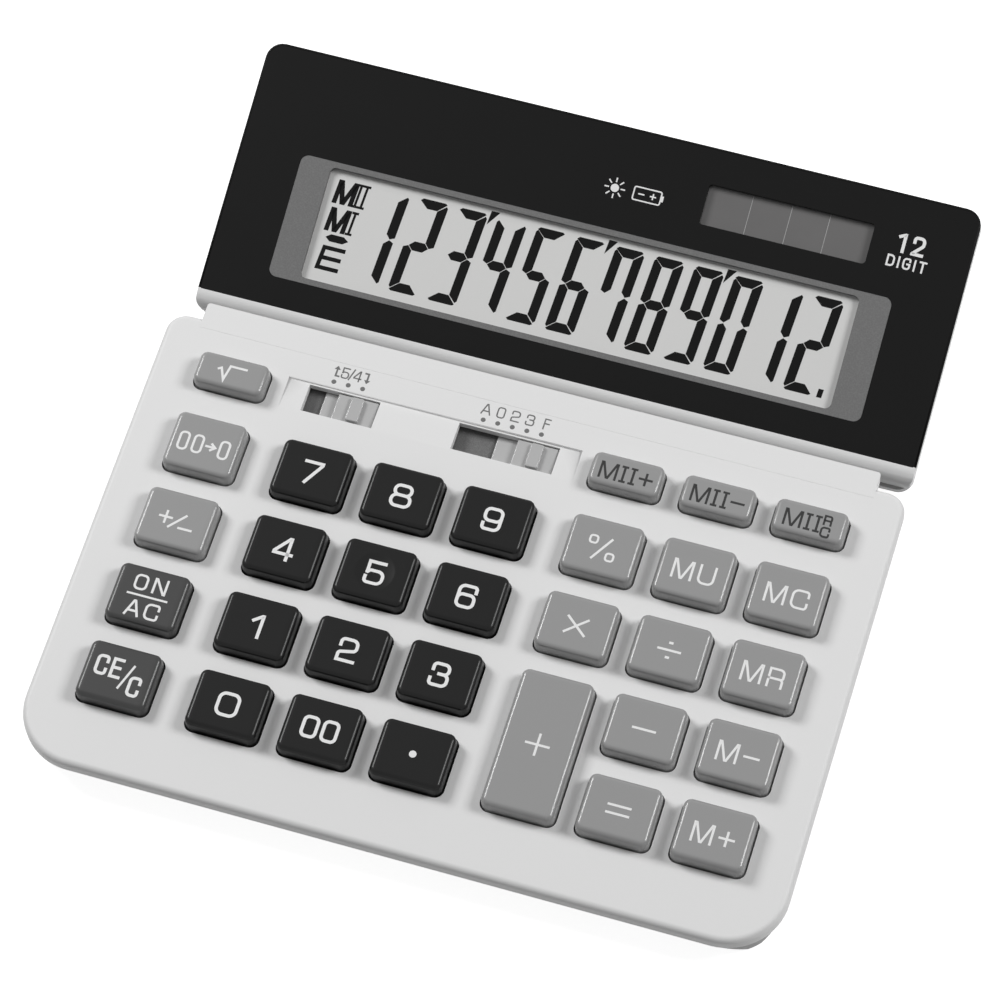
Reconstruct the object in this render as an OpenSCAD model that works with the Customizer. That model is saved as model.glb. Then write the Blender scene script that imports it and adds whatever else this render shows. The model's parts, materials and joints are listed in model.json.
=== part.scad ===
// Desk calculator: a wedge-shaped base with raised keys and two slide switches,
// and a display unit that tilts on two pins behind it.
// It stands on Z = 0 with its front towards -Y, and the origin lies under the
// middle of the whole. Two tilted frames carry the pieces. The deck frame has
// z = 0 on the sloping deck and y = 0 at the front wall. The display frame has
// z = 0 on the black fascia and y = 0 at its lower edge.

/* [Case] */
// Width of the base
case_w = 150.7; // [125:0.1:185]
// Depth of the deck, from the front wall to the rear shoulders
case_d = 97.8; // [88:0.1:120]
// Height of the deck above the desk at its front edge
deck_front_h = 9; // [8.5:0.5:14]
// Slope of the deck, which rises to the rear
deck_slope = 6; // [4:0.5:8]
// Plan radius of the two front corners
corner_front_r = 12; // [6:0.5:14]
// Plan radius of the two rear shoulders
corner_rear_r = 4; // [3:0.5:6]
// Radius along the top edge of the deck
deck_edge_r = 1.3; // [0.6:0.1:1.6]
// Height of the upper case, from the deck to the parting line
upper_h = 3; // [2.8:0.1:4]
// Thickness of the deck
deck_t = 2; // [1.6:0.1:2.2]
// Thickness of the side walls of both case halves
wall = 1.8; // [1.4:0.1:2.2]
// Thickness of the floor of the lower case
floor_t = 1.6; // [1.4:0.1:2]
// Step by which the lower case stands inside the upper one
case_step = 1.1; // [0.2:0.1:1.4]
// Bevel along the bottom edge of the lower case
floor_bevel = 2.4; // [1:0.1:2.6]
// How far the hinge neck reaches behind the shoulders
neck_d = 3.4; // [2:0.1:6]
// How far the hinge neck keeps in from each side
neck_inset = 6.5; // [5:0.5:10]
// How far the hinge neck stands above the deck
neck_rise = 0.2; // [0.1:0.1:0.8]

/* [Keys] */
// Bare deck between the side walls and the outer keys
side_margin = 9.45; // [8.5:0.05:14]
// Bare deck in front of the first row
front_margin = 13.05; // [10:0.05:16]
// Bare deck behind the short keys
rear_margin = 8; // [5:0.1:10]
// Gap between two keys side by side
key_gap = 3.95; // [2.8:0.05:4.5]
// Wider gap on each side of the digit keys
group_gap = 7.6; // [6:0.1:9]
// Gap between two rows
row_gap = 4.77; // [2.8:0.01:5.5]
// Gap between the last row and the short keys
short_row_gap = 6.6; // [4:0.1:7.5]
// Depth of the short keys
short_key_d = 7.2; // [6.5:0.05:10]
// Height of a key above the deck
key_h = 3.15; // [3:0.05:4.5]
// Height of the upright skirt that shows below the cap
skirt_h = 1.2; // [0.5:0.1:1.6]
// Plan radius of the skirt
skirt_r = 1.6; // [1.2:0.1:2]
// Ledge between the skirt and the cap
cap_ledge = 0.1; // [0.05:0.01:0.4]
// Radius along the top edge of the cap
cap_edge_r = 0.7; // [0.5:0.05:1.2]
// Draft of the cap's sides
cap_draft = 4; // [2:0.5:25]
// Wall of the hollow key
key_wall = 1; // [0.8:0.1:1.4]
// Width of the flange that holds the key under the deck
flange_w = 0.9; // [0.6:0.1:1]
// Thickness of that flange
flange_t = 0.8; // [0.6:0.1:1]
// How far a key goes down
key_travel = 1.2; // [0.8:0.1:1.3]
// Gap round a key in its opening
key_clearance = 0.3; // [0.25:0.05:0.5]
// Diameter of the finger dish on the middle key
dish_d = 7.8; // [6:0.2:9]
// Depth of that dish
dish_depth = 0.35; // [0.2:0.05:0.5]

/* [Slide switches] */
// Length of a slider's block along its travel
slider_w = 8.35; // [7:0.05:10]
// Depth of a slider's block across its travel
slider_d = 5.8; // [4.5:0.1:6.5]
// Gap round the block at the ends and sides of its slot
slot_clearance = 0.15; // [0.1:0.05:0.3]
// Distance between two detents
switch_step = 2.97; // [2.5:0.01:3.2]
// Width of the finger rib on a slider
rib_w = 2.6; // [2:0.1:3.5]
// Depth of the recess round the slots at its rear
recess_depth = 0.5; // [0.3:0.05:0.8]
// How far the recess runs past the slots on each side
recess_side = 4.4; // [3:0.1:6]

/* [Display] */
// Tilt of the display from the desk as drawn
display_tilt = 22.65; // [0:0.05:32]
// How far the display keeps in from the base on each side
display_inset = 1.1; // [1:0.1:4]
// Depth of the black fascia from its lower to its upper edge
fascia_d = 52.3; // [46:0.1:64]
// Thickness of the fascia
fascia_t = 1.2; // [1:0.1:1.6]
// White rim round the fascia
rim = 0.4; // [0.3:0.05:0.8]
// Plan radius of the upper display corners
display_corner_r = 3.4; // [2.6:0.1:5]
// Radius of the roll along the lower edge of the display
roll_r = 3.5; // [2.6:0.1:3.8]
// Depth of the front shell behind the fascia's face
front_shell_h = 4.2; // [4:0.1:5]
// Depth of the rear shell behind the front one
rear_shell_h = 5.3; // [5:0.1:7]
// How far the rear shell reaches below the roll
rear_drop = 0.7; // [0:0.1:1]
// Wall of the two display shells
shell_wall = 1.4; // [1.2:0.1:1.6]
// Radius along the rear edges of the display
rear_edge_r = 2.5; // [1.5:0.1:2.8]
// Bare fascia above the solar window
top_margin = 6.9; // [5:0.1:10]
// Height of the solar window
solar_d = 8.4; // [6:0.05:10]
// Width of the solar window
solar_w = 34; // [25:0.1:40]
// Bare fascia beside the solar window
solar_margin = 19.8; // [15:0.1:25]
// Black band between the solar and the number window
window_gap = 5.35; // [3:0.05:7]
// Bare fascia below the number window
window_bottom = 5.9; // [5.5:0.1:9]
// Bare fascia beside the number window
window_margin = 12.5; // [10:0.1:16]
// Width of the grey mask beside the glass
mask_w = 6.4; // [4:0.1:9]
// Width of the grey mask above and below the glass
mask_d = 1.2; // [0.8:0.1:2]

/* [Hinge] */
// Distance of the hinge axis behind the neck
hinge_back = 11.35; // [10:0.05:14]
// Height of the hinge axis above the desk
hinge_h = 7.15; // [6.8:0.05:10]
// Place of the hinge axis above the fascia's lower edge
pivot_up = 1.5; // [1:0.1:2.5]
// Place of the hinge axis behind the fascia's face
pivot_depth = 6; // [5.8:0.1:6.4]
// Distance of each hinge arm's middle from the middle of the case
arm_x = 56; // [45:1:58]
// Width of a hinge arm
arm_w = 8; // [6:0.5:10]
// Thickness of a hinge arm
arm_t = 3.2; // [2.4:0.1:3.4]
// Outer radius of the barrel on an arm
barrel_r = 2.6; // [2.2:0.1:2.7]
// Radius of the hinge pins
pin_r = 1.25; // [1:0.05:1.4]
// Running clearance of the pins in the arms
pin_clearance = 0.05; // [0.02:0.01:0.09]
// Gap between an arm and the display beside it
arm_gap = 0.5; // [0.3:0.1:0.8]

/* [Inside] */
// Radius of a rubber foot
foot_r = 5; // [4:0.5:6]
// How far the feet lift the floor off the desk
foot_h = 1; // [0.8:0.1:1.5]
// Thickness of the main board
board_t = 1; // [0.8:0.1:1.2]
// Space between the deck and the main board
board_drop = 3.2; // [3:0.1:3.4]
// Thickness of the rubber key mat
mat_t = 0.6; // [0.4:0.1:0.7]
// Radius of a screw boss
boss_r = 2.3; // [2:0.1:2.5]
// Radius of the case screws' threads
screw_r = 0.8; // [0.6:0.1:1]
// Radius of the button cell
cell_r = 5.8; // [5.5:0.1:6.5]
// Height of the button cell
cell_h = 3.05; // [2.5:0.05:3.6]
// Width of the battery door
door_w = 27; // [24:0.5:32]
// Depth of the battery door
door_d = 17; // [15:0.5:22]
// General seating gap between loose pieces
seat_gap = 0.1; // [0.05:0.01:0.15]

/* [Hidden] */
$fn = 48;
eps = 0.01;
far = 60;
screw_head_r = 1.9;
screw_head_h = 1.3;
peg_r = 1.5;
plunger_r = 2;
dome_r = 3;

white = [0.86, 0.86, 0.85];
shadow_white = [0.74, 0.74, 0.73];
black = [0.11, 0.11, 0.12];
charcoal = [0.27, 0.27, 0.28];
grey = [0.54, 0.54, 0.54];
light_grey = [0.68, 0.68, 0.67];
board_green = [0.13, 0.36, 0.23];
steel = [0.72, 0.73, 0.75];

key_w = (case_w - 2 * side_margin - 4 * key_gap - 2 * group_gap) / 7;
key_d = (case_d - front_margin - 3 * row_gap - short_row_gap - short_key_d - rear_margin) / 4;
pitch_x = key_w + key_gap;
group_pitch = key_w + group_gap;
pitch_y = key_d + row_gap;
column_x = [-2 * pitch_x - group_pitch, -2 * pitch_x, -pitch_x, 0,
            group_pitch, group_pitch + pitch_x, group_pitch + 2 * pitch_x];
row_y = [for (i = [0:3]) front_margin + key_d / 2 + i * pitch_y];
short_row_y = row_y[3] + key_d / 2 + short_row_gap + short_key_d / 2;

// Every key: name, column, row from the front (4 is the row of short keys),
// rows that it covers, and its colour.
KEYS = [
    ["key_square_root", 0, 4, 1, grey],
    ["key_second_memory_plus", 4, 4, 1, grey],
    ["key_second_memory_minus", 5, 4, 1, grey],
    ["key_second_memory_recall", 6, 4, 1, grey],
    ["key_shift_back", 0, 3, 1, grey],
    ["key_7", 1, 3, 1, black],
    ["key_8", 2, 3, 1, black],
    ["key_9", 3, 3, 1, black],
    ["key_percent", 4, 3, 1, grey],
    ["key_markup", 5, 3, 1, grey],
    ["key_memory_clear", 6, 3, 1, grey],
    ["key_sign", 0, 2, 1, grey],
    ["key_4", 1, 2, 1, black],
    ["key_5", 2, 2, 1, black],
    ["key_6", 3, 2, 1, black],
    ["key_multiply", 4, 2, 1, grey],
    ["key_divide", 5, 2, 1, grey],
    ["key_memory_recall", 6, 2, 1, grey],
    ["key_on_all_clear", 0, 1, 1, charcoal],
    ["key_1", 1, 1, 1, black],
    ["key_2", 2, 1, 1, black],
    ["key_3", 3, 1, 1, black],
    ["key_plus", 4, 0, 2, grey],
    ["key_minus", 5, 1, 1, grey],
    ["key_memory_minus", 6, 1, 1, grey],
    ["key_clear_entry", 0, 0, 1, charcoal],
    ["key_0", 1, 0, 1, black],
    ["key_00", 2, 0, 1, black],
    ["key_point", 3, 0, 1, black],
    ["key_equals", 5, 0, 1, grey],
    ["key_memory_plus", 6, 0, 1, grey]
];

function key_x(k) = column_x[k[1]];
function key_depth(k) = k[2] == 4 ? short_key_d : key_d + (k[3] - 1) * pitch_y;
function key_y(k) = k[2] == 4 ? short_row_y : row_y[k[2]] + (k[3] - 1) * pitch_y / 2;

// Both switches: middle of the slot, number of detents, and how far the plate
// under the deck runs past the block. The sliders are drawn at their last detent.
slot_y = short_row_y + 0.3;
ROUNDING = [column_x[1] + 0.2, 3, 2.8];
DECIMALS = [column_x[3] - 2.7, 5, 4.2];
function travel(s) = (s[1] - 1) * switch_step;
function slot_w(s) = travel(s) + slider_w + 2 * slot_clearance;
slot_d = slider_d + 2 * slot_clearance;
plate_t = 0.6;
plate_top = -deck_t - seat_gap;
plate_d = slot_d + 2;
rib_h = 0.85;

// Levels under the deck, in the deck frame.
flange_top = -deck_t - 0.15;
key_bottom = flange_top - flange_t;
board_top = -deck_t - board_drop;
board_bottom = board_top - board_t;
mat_top = board_top + mat_t;
dome_top = key_bottom - key_travel - seat_gap;

neck_w = case_w - 2 * neck_inset;
neck_end = case_d + neck_d;

fascia_w = case_w - 2 * display_inset - 2 * rim;
display_w = fascia_w + 2 * rim;
display_h = fascia_d + rim;
lower_lip = roll_r + 0.2;
window_w = fascia_w - 2 * window_margin;
window_d = fascia_d - top_margin - solar_d - window_gap - window_bottom;
glass_w = window_w - 2 * mask_w;
glass_d = window_d - 2 * mask_d;
solar_x = fascia_w / 2 - solar_margin - solar_w / 2;
solar_y = fascia_d - top_margin - solar_d / 2;
window_y = window_bottom + window_d / 2;
shelf_t = 1.2;
shelf = -fascia_t - shelf_t;
parting = -front_shell_h;
display_back = parting - rear_shell_h;
inner_back = display_back + shell_wall;
tray_step = 0.3;
tray_y = -lower_lip - rear_drop;
cell_front = -fascia_t;
glass_t = 1.8;
reflector_t = 0.2;
strip_d = 2;
display_board_top = parting;
cell_w = glass_w + 2.4;
cell_d = window_d + 0.6;
solar_lap = 0.75;
standoff_r = 1.6;
display_boss_r = 2.1;
display_boss_lap = 0.8;
display_screw_sink = 1.8;
display_screw_in = 4.6;
DISPLAY_SCREWS = [for (x = [-1, 1]) for (y = [9, fascia_d - 6])
                  [x * (fascia_w / 2 - display_screw_in), y]];
notch_w = arm_w + 2 * arm_gap;
pin_boss_w = 3;

// Where the deck and the display stand. Angles are from the desk.
function deck_to_world_y(y, z) = y * cos(deck_slope) - z * sin(deck_slope);
function deck_to_world_z(y, z) = y * sin(deck_slope) + z * cos(deck_slope) + deck_front_h;
function deck_z_at(y, world_z) = (world_z - deck_front_h - y * sin(deck_slope)) / cos(deck_slope);
hinge_y = deck_to_world_y(neck_end, neck_rise) + hinge_back;
front_y = deck_edge_r * (cos(deck_slope) + sin(deck_slope) - 1);
rear_y = hinge_y + (display_h - 0.3 - rear_edge_r - pivot_up) * cos(display_tilt)
         + (-display_back - rear_edge_r - pivot_depth) * sin(display_tilt) + rear_edge_r;
middle_y = (front_y + rear_y) / 2;

// Case screws and board pegs, in the deck frame.
screw_x = case_w / 2 - case_step - wall - boss_r - 0.5;
SCREWS = [for (x = [-screw_x, screw_x])
          for (y = [corner_front_r + 3, row_y[1] + pitch_y / 2, case_d - 8]) [x, y]];
PEGS = [for (x = [column_x[0] + group_pitch / 2, column_x[3] + group_pitch / 2])
        for (y = [row_y[0] + pitch_y / 2, row_y[2] + pitch_y / 2]) [x, y]];
screw_joint = board_top;
FEET = [for (x = [-1, 1]) for (y = [16, case_d - 14]) [x * (case_w / 2 - 17), y]];
foot_sink = 0.5;
pilot_clearance = 0.2;

// Board, battery door, cell cup and ribbon.
board_w = column_x[6] * 2 + key_w - 2;
board_front = front_margin - 3;
board_depth = case_d - wall - 2 - board_front;
door_x = 0;
door_y = case_d * 0.6;
door_t = 0.8;
door_corner_r = 2;
door_screw_x = door_w / 2 - 4;
door_boss_r = 2.2;
door_boss_h = 3.4;
cup_wall = 1.4;
grip_w = 0.8;
ribbon_w = 10;
ribbon_t = 0.3;
coil_r = 0.9;
ribbon_h = foot_h + floor_bevel + 0.9;

// ---- Frames ----

module on_desk() translate([0, -middle_y, 0]) children();

module on_deck() on_desk() translate([0, 0, deck_front_h]) rotate([deck_slope, 0, 0]) children();

module on_display()
    on_desk() translate([0, hinge_y, hinge_h]) rotate([display_tilt, 0, 0])
        translate([0, -pivot_up, pivot_depth]) children();

// Runs a profile drawn in y and z along x.
module along_x(length)
    rotate([90, 0, 90]) linear_extrude(length, center = true) children();

// ---- Shared shapes ----

// A rectangle with rounded corners about the origin.
module round_rect(w, d, r) {
    square([w - 2 * r, d], center = true);
    square([w, d - 2 * r], center = true);
    for (x = [-1, 1]) for (y = [-1, 1])
        translate([x * (w / 2 - r), y * (d / 2 - r)]) circle(r);
}

// A plan that starts at y = 0, with its own radius at the front and the rear.
module round_plan(w, d, front_r, rear_r) {
    polygon([[front_r - w / 2, 0], [w / 2 - front_r, 0], [w / 2, front_r], [w / 2, d - rear_r],
             [w / 2 - rear_r, d], [rear_r - w / 2, d], [-w / 2, d - rear_r], [-w / 2, front_r]]);
    for (x = [-1, 1]) {
        translate([x * (w / 2 - front_r), front_r]) circle(front_r);
        translate([x * (w / 2 - rear_r), d - rear_r]) circle(rear_r);
    }
}

// Section through a rounded top edge: it ends at x = reach and its top is at y = 0.
module edge_section(reach, h, edge_r) {
    translate([0, -h]) square([reach - edge_r, h]);
    translate([0, -h]) square([reach, h - edge_r]);
    translate([reach - edge_r, -edge_r]) circle(edge_r);
}

// A slab below z = 0 whose plan is round_plan and whose top edge is rounded all
// round. The front radius is at least the rear one.
module soft_slab(w, d, h, front_r, rear_r, edge_r) {
    for (side = [0, 1]) mirror([side, 0, 0]) {
        translate([w / 2 - front_r, front_r, 0]) rotate([0, 0, -90])
            rotate_extrude(angle = 90) intersection() {
                edge_section(front_r, h, edge_r);
                translate([0, -h]) square([front_r, h]);
            }
        translate([w / 2 - rear_r, d - rear_r, 0])
            rotate_extrude(angle = 90) intersection() {
                edge_section(rear_r, h, edge_r);
                translate([0, -h]) square([rear_r, h]);
            }
        translate([w / 2 - rear_r, d - rear_r, 0]) rotate([90, 0, 0])
            linear_extrude(d - front_r - rear_r) edge_section(rear_r, h, edge_r);
    }
    translate([0, front_r, 0]) rotate([0, 0, -90]) along_y_strip(w - 2 * front_r, front_r, h, edge_r);
    translate([0, d - rear_r, 0]) rotate([0, 0, 90]) along_y_strip(w - 2 * rear_r, rear_r, h, edge_r);
    translate([rear_r - w / 2, front_r, -h]) cube([w - 2 * rear_r, d - front_r - rear_r, h]);
}

// A strip with a rounded top edge, running along y with its edge towards +x.
module along_y_strip(length, reach, h, edge_r)
    rotate([90, 0, 0]) linear_extrude(length, center = true) edge_section(reach, h, edge_r);

// ---- Keys ----

// Half section of a cap from the middle of a corner outwards: a drafted side that
// runs into the rounded edge.
module cap_section() {
    foot_x = skirt_r - cap_ledge;
    arc_z = key_h - cap_edge_r;
    side_z = arc_z + cap_edge_r * sin(cap_draft);
    side_x = foot_x - (side_z - skirt_h) * tan(cap_draft);
    arc_x = side_x - cap_edge_r * cos(cap_draft);
    intersection() {
        union() {
            polygon([[0, skirt_h], [foot_x, skirt_h], [side_x, side_z], [arc_x, key_h], [0, key_h]]);
            translate([arc_x, arc_z]) circle(cap_edge_r);
        }
        translate([0, skirt_h]) square([foot_x, key_h]);
    }
}

// The cap above the skirt, with round corners, drafted sides and a flat top.
module cap(w, d) {
    flat_w = w - 2 * skirt_r;
    flat_d = d - 2 * skirt_r;
    for (sx = [0, 1]) for (sy = [0, 1]) mirror([sx, 0, 0]) mirror([0, sy, 0])
        translate([flat_w / 2, flat_d / 2, 0]) rotate_extrude(angle = 90) cap_section();
    for (side = [0, 180]) rotate([0, 0, side]) {
        translate([flat_w / 2, 0, 0]) rotate([90, 0, 0])
            linear_extrude(flat_d, center = true) cap_section();
        translate([0, flat_d / 2, 0]) rotate([90, 0, 90])
            linear_extrude(flat_w, center = true) cap_section();
    }
    translate([-flat_w / 2, -flat_d / 2, skirt_h]) cube([flat_w, flat_d, key_h - skirt_h]);
}

// A hollow key with its skirt, its holding flange and the plunger in its middle.
module key_body(w, d) {
    difference() {
        union() {
            cap(w, d);
            translate([0, 0, key_bottom + eps])
                linear_extrude(skirt_h - key_bottom - eps) round_rect(w, d, skirt_r);
            translate([0, 0, key_bottom])
                linear_extrude(flange_t) round_rect(w + 2 * flange_w, d + 2 * flange_w, skirt_r);
        }
        translate([0, 0, key_bottom - 1])
            linear_extrude(key_h - key_wall - key_bottom + 1)
                round_rect(w - 2 * key_wall, d - 2 * key_wall, skirt_r / 2);
    }
    translate([0, 0, key_bottom]) cylinder(r = plunger_r, h = key_h - key_wall / 2 - key_bottom);
}

module key(k) color(k[4]) on_deck() translate([key_x(k), key_y(k), 0])
    difference() {
        key_body(key_w, key_depth(k));
        if (k[0] == "key_5") finger_dish();
    }

// A shallow round dish in the top of the middle key.
module finger_dish() {
    r = (pow(dish_d / 2, 2) + pow(dish_depth, 2)) / (2 * dish_depth);
    translate([0, 0, key_h - dish_depth + r]) sphere(r);
}

// ---- Slide switches ----

function slider_x(s) = s[0] + travel(s) / 2;

// A slider: the plate under the deck, the block in the slot and the finger rib.
module slider(s) color(light_grey) on_deck() translate([slider_x(s), slot_y, 0]) {
    block_top = -0.8;
    plate_w = slider_w + 2 * s[2];
    translate([-plate_w / 2, -plate_d / 2, plate_top - plate_t]) cube([plate_w, plate_d + 3, plate_t]);
    translate([-slider_w / 2, -slider_d / 2, plate_top - eps])
        cube([slider_w, slider_d, block_top - plate_top + eps]);
    translate([0, 0, block_top - eps]) linear_extrude(rib_h + eps) round_rect(rib_w, slider_d - 0.6, 0.4);
}

module rounding_slider() slider(ROUNDING);

module decimals_slider() slider(DECIMALS);

// The leaf under a slider that bridges the tracks on the board.
module wiper(s) color(steel) on_deck() translate([slider_x(s), slot_y + plate_d / 2 + 1.5, 0]) {
    top = plate_top - plate_t;
    low = board_top + seat_gap;
    along = slider_w * 0.6;
    rotate([0, 0, 90]) along_x(1.4)
        polygon([[-along / 2, top], [along / 2, top], [along / 2, top - 0.25], [0.8, low + 0.2],
                 [0.5, low], [-0.5, low], [-0.8, low + 0.2], [-along / 2, top - 0.25]]);
}

module rounding_wiper() wiper(ROUNDING);

module decimals_wiper() wiper(DECIMALS);

// ---- Base ----

// Key openings, slots and the recess round the slots.
module deck_cuts() {
    for (k = KEYS) translate([key_x(k), key_y(k), -far / 2]) linear_extrude(far)
        round_rect(key_w + 2 * key_clearance, key_depth(k) + 2 * key_clearance, skirt_r + key_clearance);
    for (s = [ROUNDING, DECIMALS])
        translate([s[0] - slot_w(s) / 2, slot_y - slot_d / 2, -far / 2]) cube([slot_w(s), slot_d, far]);
    left = ROUNDING[0] - slot_w(ROUNDING) / 2 - recess_side;
    right = DECIMALS[0] + slot_w(DECIMALS) / 2 + recess_side;
    front = slot_y - slot_d / 2 - 0.5;
    rear = slot_y + slot_d / 2 + 0.5;
    translate([(left + right) / 2, 0, 0]) along_x(right - left)
        polygon([[front, 0], [rear, -recess_depth], [rear, 1], [front, 1]]);
}

module upper_case() color(white) on_deck() {
    difference() {
        union() {
            soft_slab(case_w, case_d, upper_h, corner_front_r, corner_rear_r, deck_edge_r);
            translate([0, case_d - 0.4, neck_rise])
                soft_slab(neck_w, neck_d + 0.4, upper_h + neck_rise, 0.6, 0.6, neck_rise);
        }
        translate([0, wall, -far]) linear_extrude(far - deck_t)
            round_plan(case_w - 2 * wall, case_d - 2 * wall, corner_front_r - wall, corner_rear_r - wall);
        translate([wall - neck_w / 2, case_d - 2 * wall, -far])
            cube([neck_w - 2 * wall, neck_d + wall, far - deck_t]);
        deck_cuts();
    }
    for (p = SCREWS) translate([p[0], p[1], 0]) difference() {
        translate([0, 0, screw_joint]) cylinder(r = boss_r, h = -screw_joint - deck_t + eps);
        translate([0, 0, screw_joint - 1]) cylinder(r = screw_r, h = 1 - screw_joint - deck_t);
    }
    for (p = PEGS) translate([p[0], p[1], board_top]) cylinder(r = peg_r, h = -board_top - deck_t + eps);
}

// Plan of the lower case, kept in from that of the upper case by step.
module lower_plan(inset) {
    translate([0, inset]) round_plan(case_w - 2 * inset, case_d - 2 * inset,
                                     corner_front_r - inset, corner_rear_r - inset);
    translate([inset - neck_w / 2, case_d / 2]) square([neck_w - 2 * inset, neck_end - inset - case_d / 2]);
}

// The block that the outside or the inside of the lower case is cut from.
module lower_block(inset, low, bevel) {
    from_y = inset + (deck_front_h - low - bevel) * tan(deck_slope);
    to_y = deck_to_world_y(neck_end - inset, deck_z_at(neck_end, low + bevel));
    intersection() {
        translate([0, 0, deck_front_h]) rotate([deck_slope, 0, 0])
            translate([0, 0, -far]) linear_extrude(far - upper_h) lower_plan(inset);
        intersection_for (axis = [0, 1]) bevelled_bar(axis, case_w - 2 * inset, from_y, to_y, low, bevel);
    }
}

// A bar with two bevelled lower edges, along y for axis 0 and along x for axis 1.
module bevelled_bar(axis, w, from_y, to_y, low, bevel) {
    if (axis == 0)
        rotate([90, 0, 0]) translate([0, 0, -to_y - 10]) linear_extrude(to_y - from_y + 20)
            polygon([[bevel - w / 2, low], [w / 2 - bevel, low], [w / 2, low + bevel], [w / 2, far],
                     [-w / 2, far], [-w / 2, low + bevel]]);
    else
        along_x(w + 20)
            polygon([[from_y + bevel, low], [to_y - bevel, low], [to_y, low + bevel], [to_y, far],
                     [from_y, far], [from_y, low + bevel]]);
}

module lower_case() color(shadow_white) on_desk() {
    rear_wall_y = deck_to_world_y(neck_end, deck_z_at(neck_end, hinge_h));
    difference() {
        union() {
            difference() {
                lower_block(case_step, foot_h, floor_bevel);
                lower_block(case_step + wall, foot_h + floor_t, floor_bevel);
            }
            // Bosses for the case screws, pegs under the board and the cup of the button cell
            intersection() {
                translate([0, 0, deck_front_h]) rotate([deck_slope, 0, 0]) {
                    for (p = SCREWS) translate([p[0], p[1], -far])
                        cylinder(r = boss_r + 0.6, h = far + screw_joint);
                    for (p = PEGS) translate([p[0], p[1], -far]) cylinder(r = peg_r, h = far + board_bottom);
                }
                translate([-far * 2, -far, foot_h + floor_t / 2]) cube([far * 4, far * 4, far]);
            }
            translate([door_x, door_y, foot_h + floor_t / 2])
                cylinder(r = cell_r + cup_wall, h = cell_h + 0.4);
            translate([door_x + door_screw_x, door_y, foot_h + floor_t / 2])
                cylinder(r = door_boss_r, h = door_boss_h);
            for (side = [-1, 1]) hinge_arm(side, rear_wall_y);
        }
        translate([door_x, door_y, 0]) battery_bay();
        for (p = FEET) translate([p[0], p[1], 0]) cylinder(r = foot_r + seat_gap, h = foot_h + foot_sink);
        translate([0, 0, deck_front_h]) rotate([deck_slope, 0, 0])
            for (p = SCREWS) translate([p[0], p[1], 0]) {
                translate([0, 0, -far]) cylinder(r = screw_r + pilot_clearance, h = far);
                translate([0, 0, -far]) cylinder(r = screw_head_r + 0.3, h = far + screw_seat(p[1]));
            }
        for (side = [-1, 1]) translate([side * arm_x, hinge_y, hinge_h]) rotate([0, 90, 0])
            cylinder(r = pin_r + pin_clearance, h = arm_w + 2, center = true);
        translate([-ribbon_w / 2 - 0.5, rear_wall_y - 2 * wall, ribbon_h - 0.6])
            cube([ribbon_w + 1, 4 * wall, 1.2]);
    }
}

// Level of the seat for a case screw's head, in the deck frame.
function screw_seat(y) = deck_z_at(y, foot_h + floor_t + 0.6);

// An arm that reaches back under the display and rises to a hinge barrel.
module hinge_arm(side, wall_y) {
    translate([side * arm_x - arm_w / 2, wall_y - wall - 1, foot_h])
        cube([arm_w, hinge_y - wall_y + wall + 1 + barrel_r, arm_t]);
    translate([side * arm_x - arm_w / 2, hinge_y - barrel_r, foot_h])
        cube([arm_w, 2 * barrel_r, hinge_h - foot_h]);
    translate([side * arm_x, hinge_y, hinge_h]) rotate([0, 90, 0])
        cylinder(r = barrel_r, h = arm_w, center = true);
}

// The battery door's recess, the opening for the cell and the screw's pilot hole.
module battery_bay() {
    translate([0, 0, foot_h - 1]) linear_extrude(1 + door_t + seat_gap)
        round_rect(door_w + 2 * seat_gap, door_d + 2 * seat_gap, door_corner_r);
    translate([0, 0, foot_h - 1]) cylinder(r = cell_r + 2 * seat_gap, h = far / 3);
    translate([door_screw_x, 0, foot_h]) cylinder(r = screw_r, h = door_boss_h + 0.6);
}

module battery_door() color(shadow_white) on_desk() translate([door_x, door_y, foot_h])
    difference() {
        linear_extrude(door_t) round_rect(door_w, door_d, door_corner_r - seat_gap);
        translate([door_screw_x, 0, -1]) cylinder(r = screw_r + pilot_clearance, h = 4);
        for (i = [0:4]) translate([3 - door_w / 2 + i * (2 * grip_w + 0.2), -door_d / 4, -0.7])
            cube([grip_w, door_d / 2, 1]);
    }

// A pan-head screw along z, its head down: the head's seat is at z = 0.
module screw(length) {
    difference() {
        translate([0, 0, -screw_head_h]) cylinder(r = screw_head_r, h = screw_head_h);
        for (turn = [0, 90]) rotate([0, 0, turn])
            translate([-1.2, -0.25, -screw_head_h - 1]) cube([2.4, 0.5, 1.6]);
    }
    cylinder(r = screw_r, h = length);
}

module battery_door_screw() color(steel) on_desk()
    translate([door_x + door_screw_x, door_y, foot_h]) scale(0.75) screw(3.6);

module button_cell() color(steel) on_desk() translate([door_x, door_y, foot_h + door_t]) {
    cylinder(r = cell_r, h = cell_h - 0.4);
    translate([0, 0, cell_h - 0.4 - eps]) cylinder(r = cell_r - 0.8, h = 0.4 + eps);
}

// A leaf on top of the cell and one beside it, both under the board.
module battery_contacts() color(steel) on_desk() {
    cell_top = foot_h + door_t + cell_h;
    board_z = deck_to_world_z(door_y / cos(deck_slope), board_bottom);
    translate([door_x, door_y, 0]) along_x(2.4)
        polygon([[-0.8, cell_top], [0.8, cell_top], [3.5, board_z - 0.15], [3.5, board_z + 0.05],
                 [2.9, board_z + 0.05], [0.6, cell_top + 0.3], [-0.8, cell_top + 0.3]]);
    translate([door_x - cell_r - 3.2, door_y - 1.2, foot_h + floor_t])
        cube([0.3, 2.4, board_z - foot_h - floor_t - 0.45]);
}

module rubber_feet() color(charcoal) on_desk() for (p = FEET)
    translate([p[0], p[1], 0]) cylinder(r = foot_r, h = foot_h + foot_sink);

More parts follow.
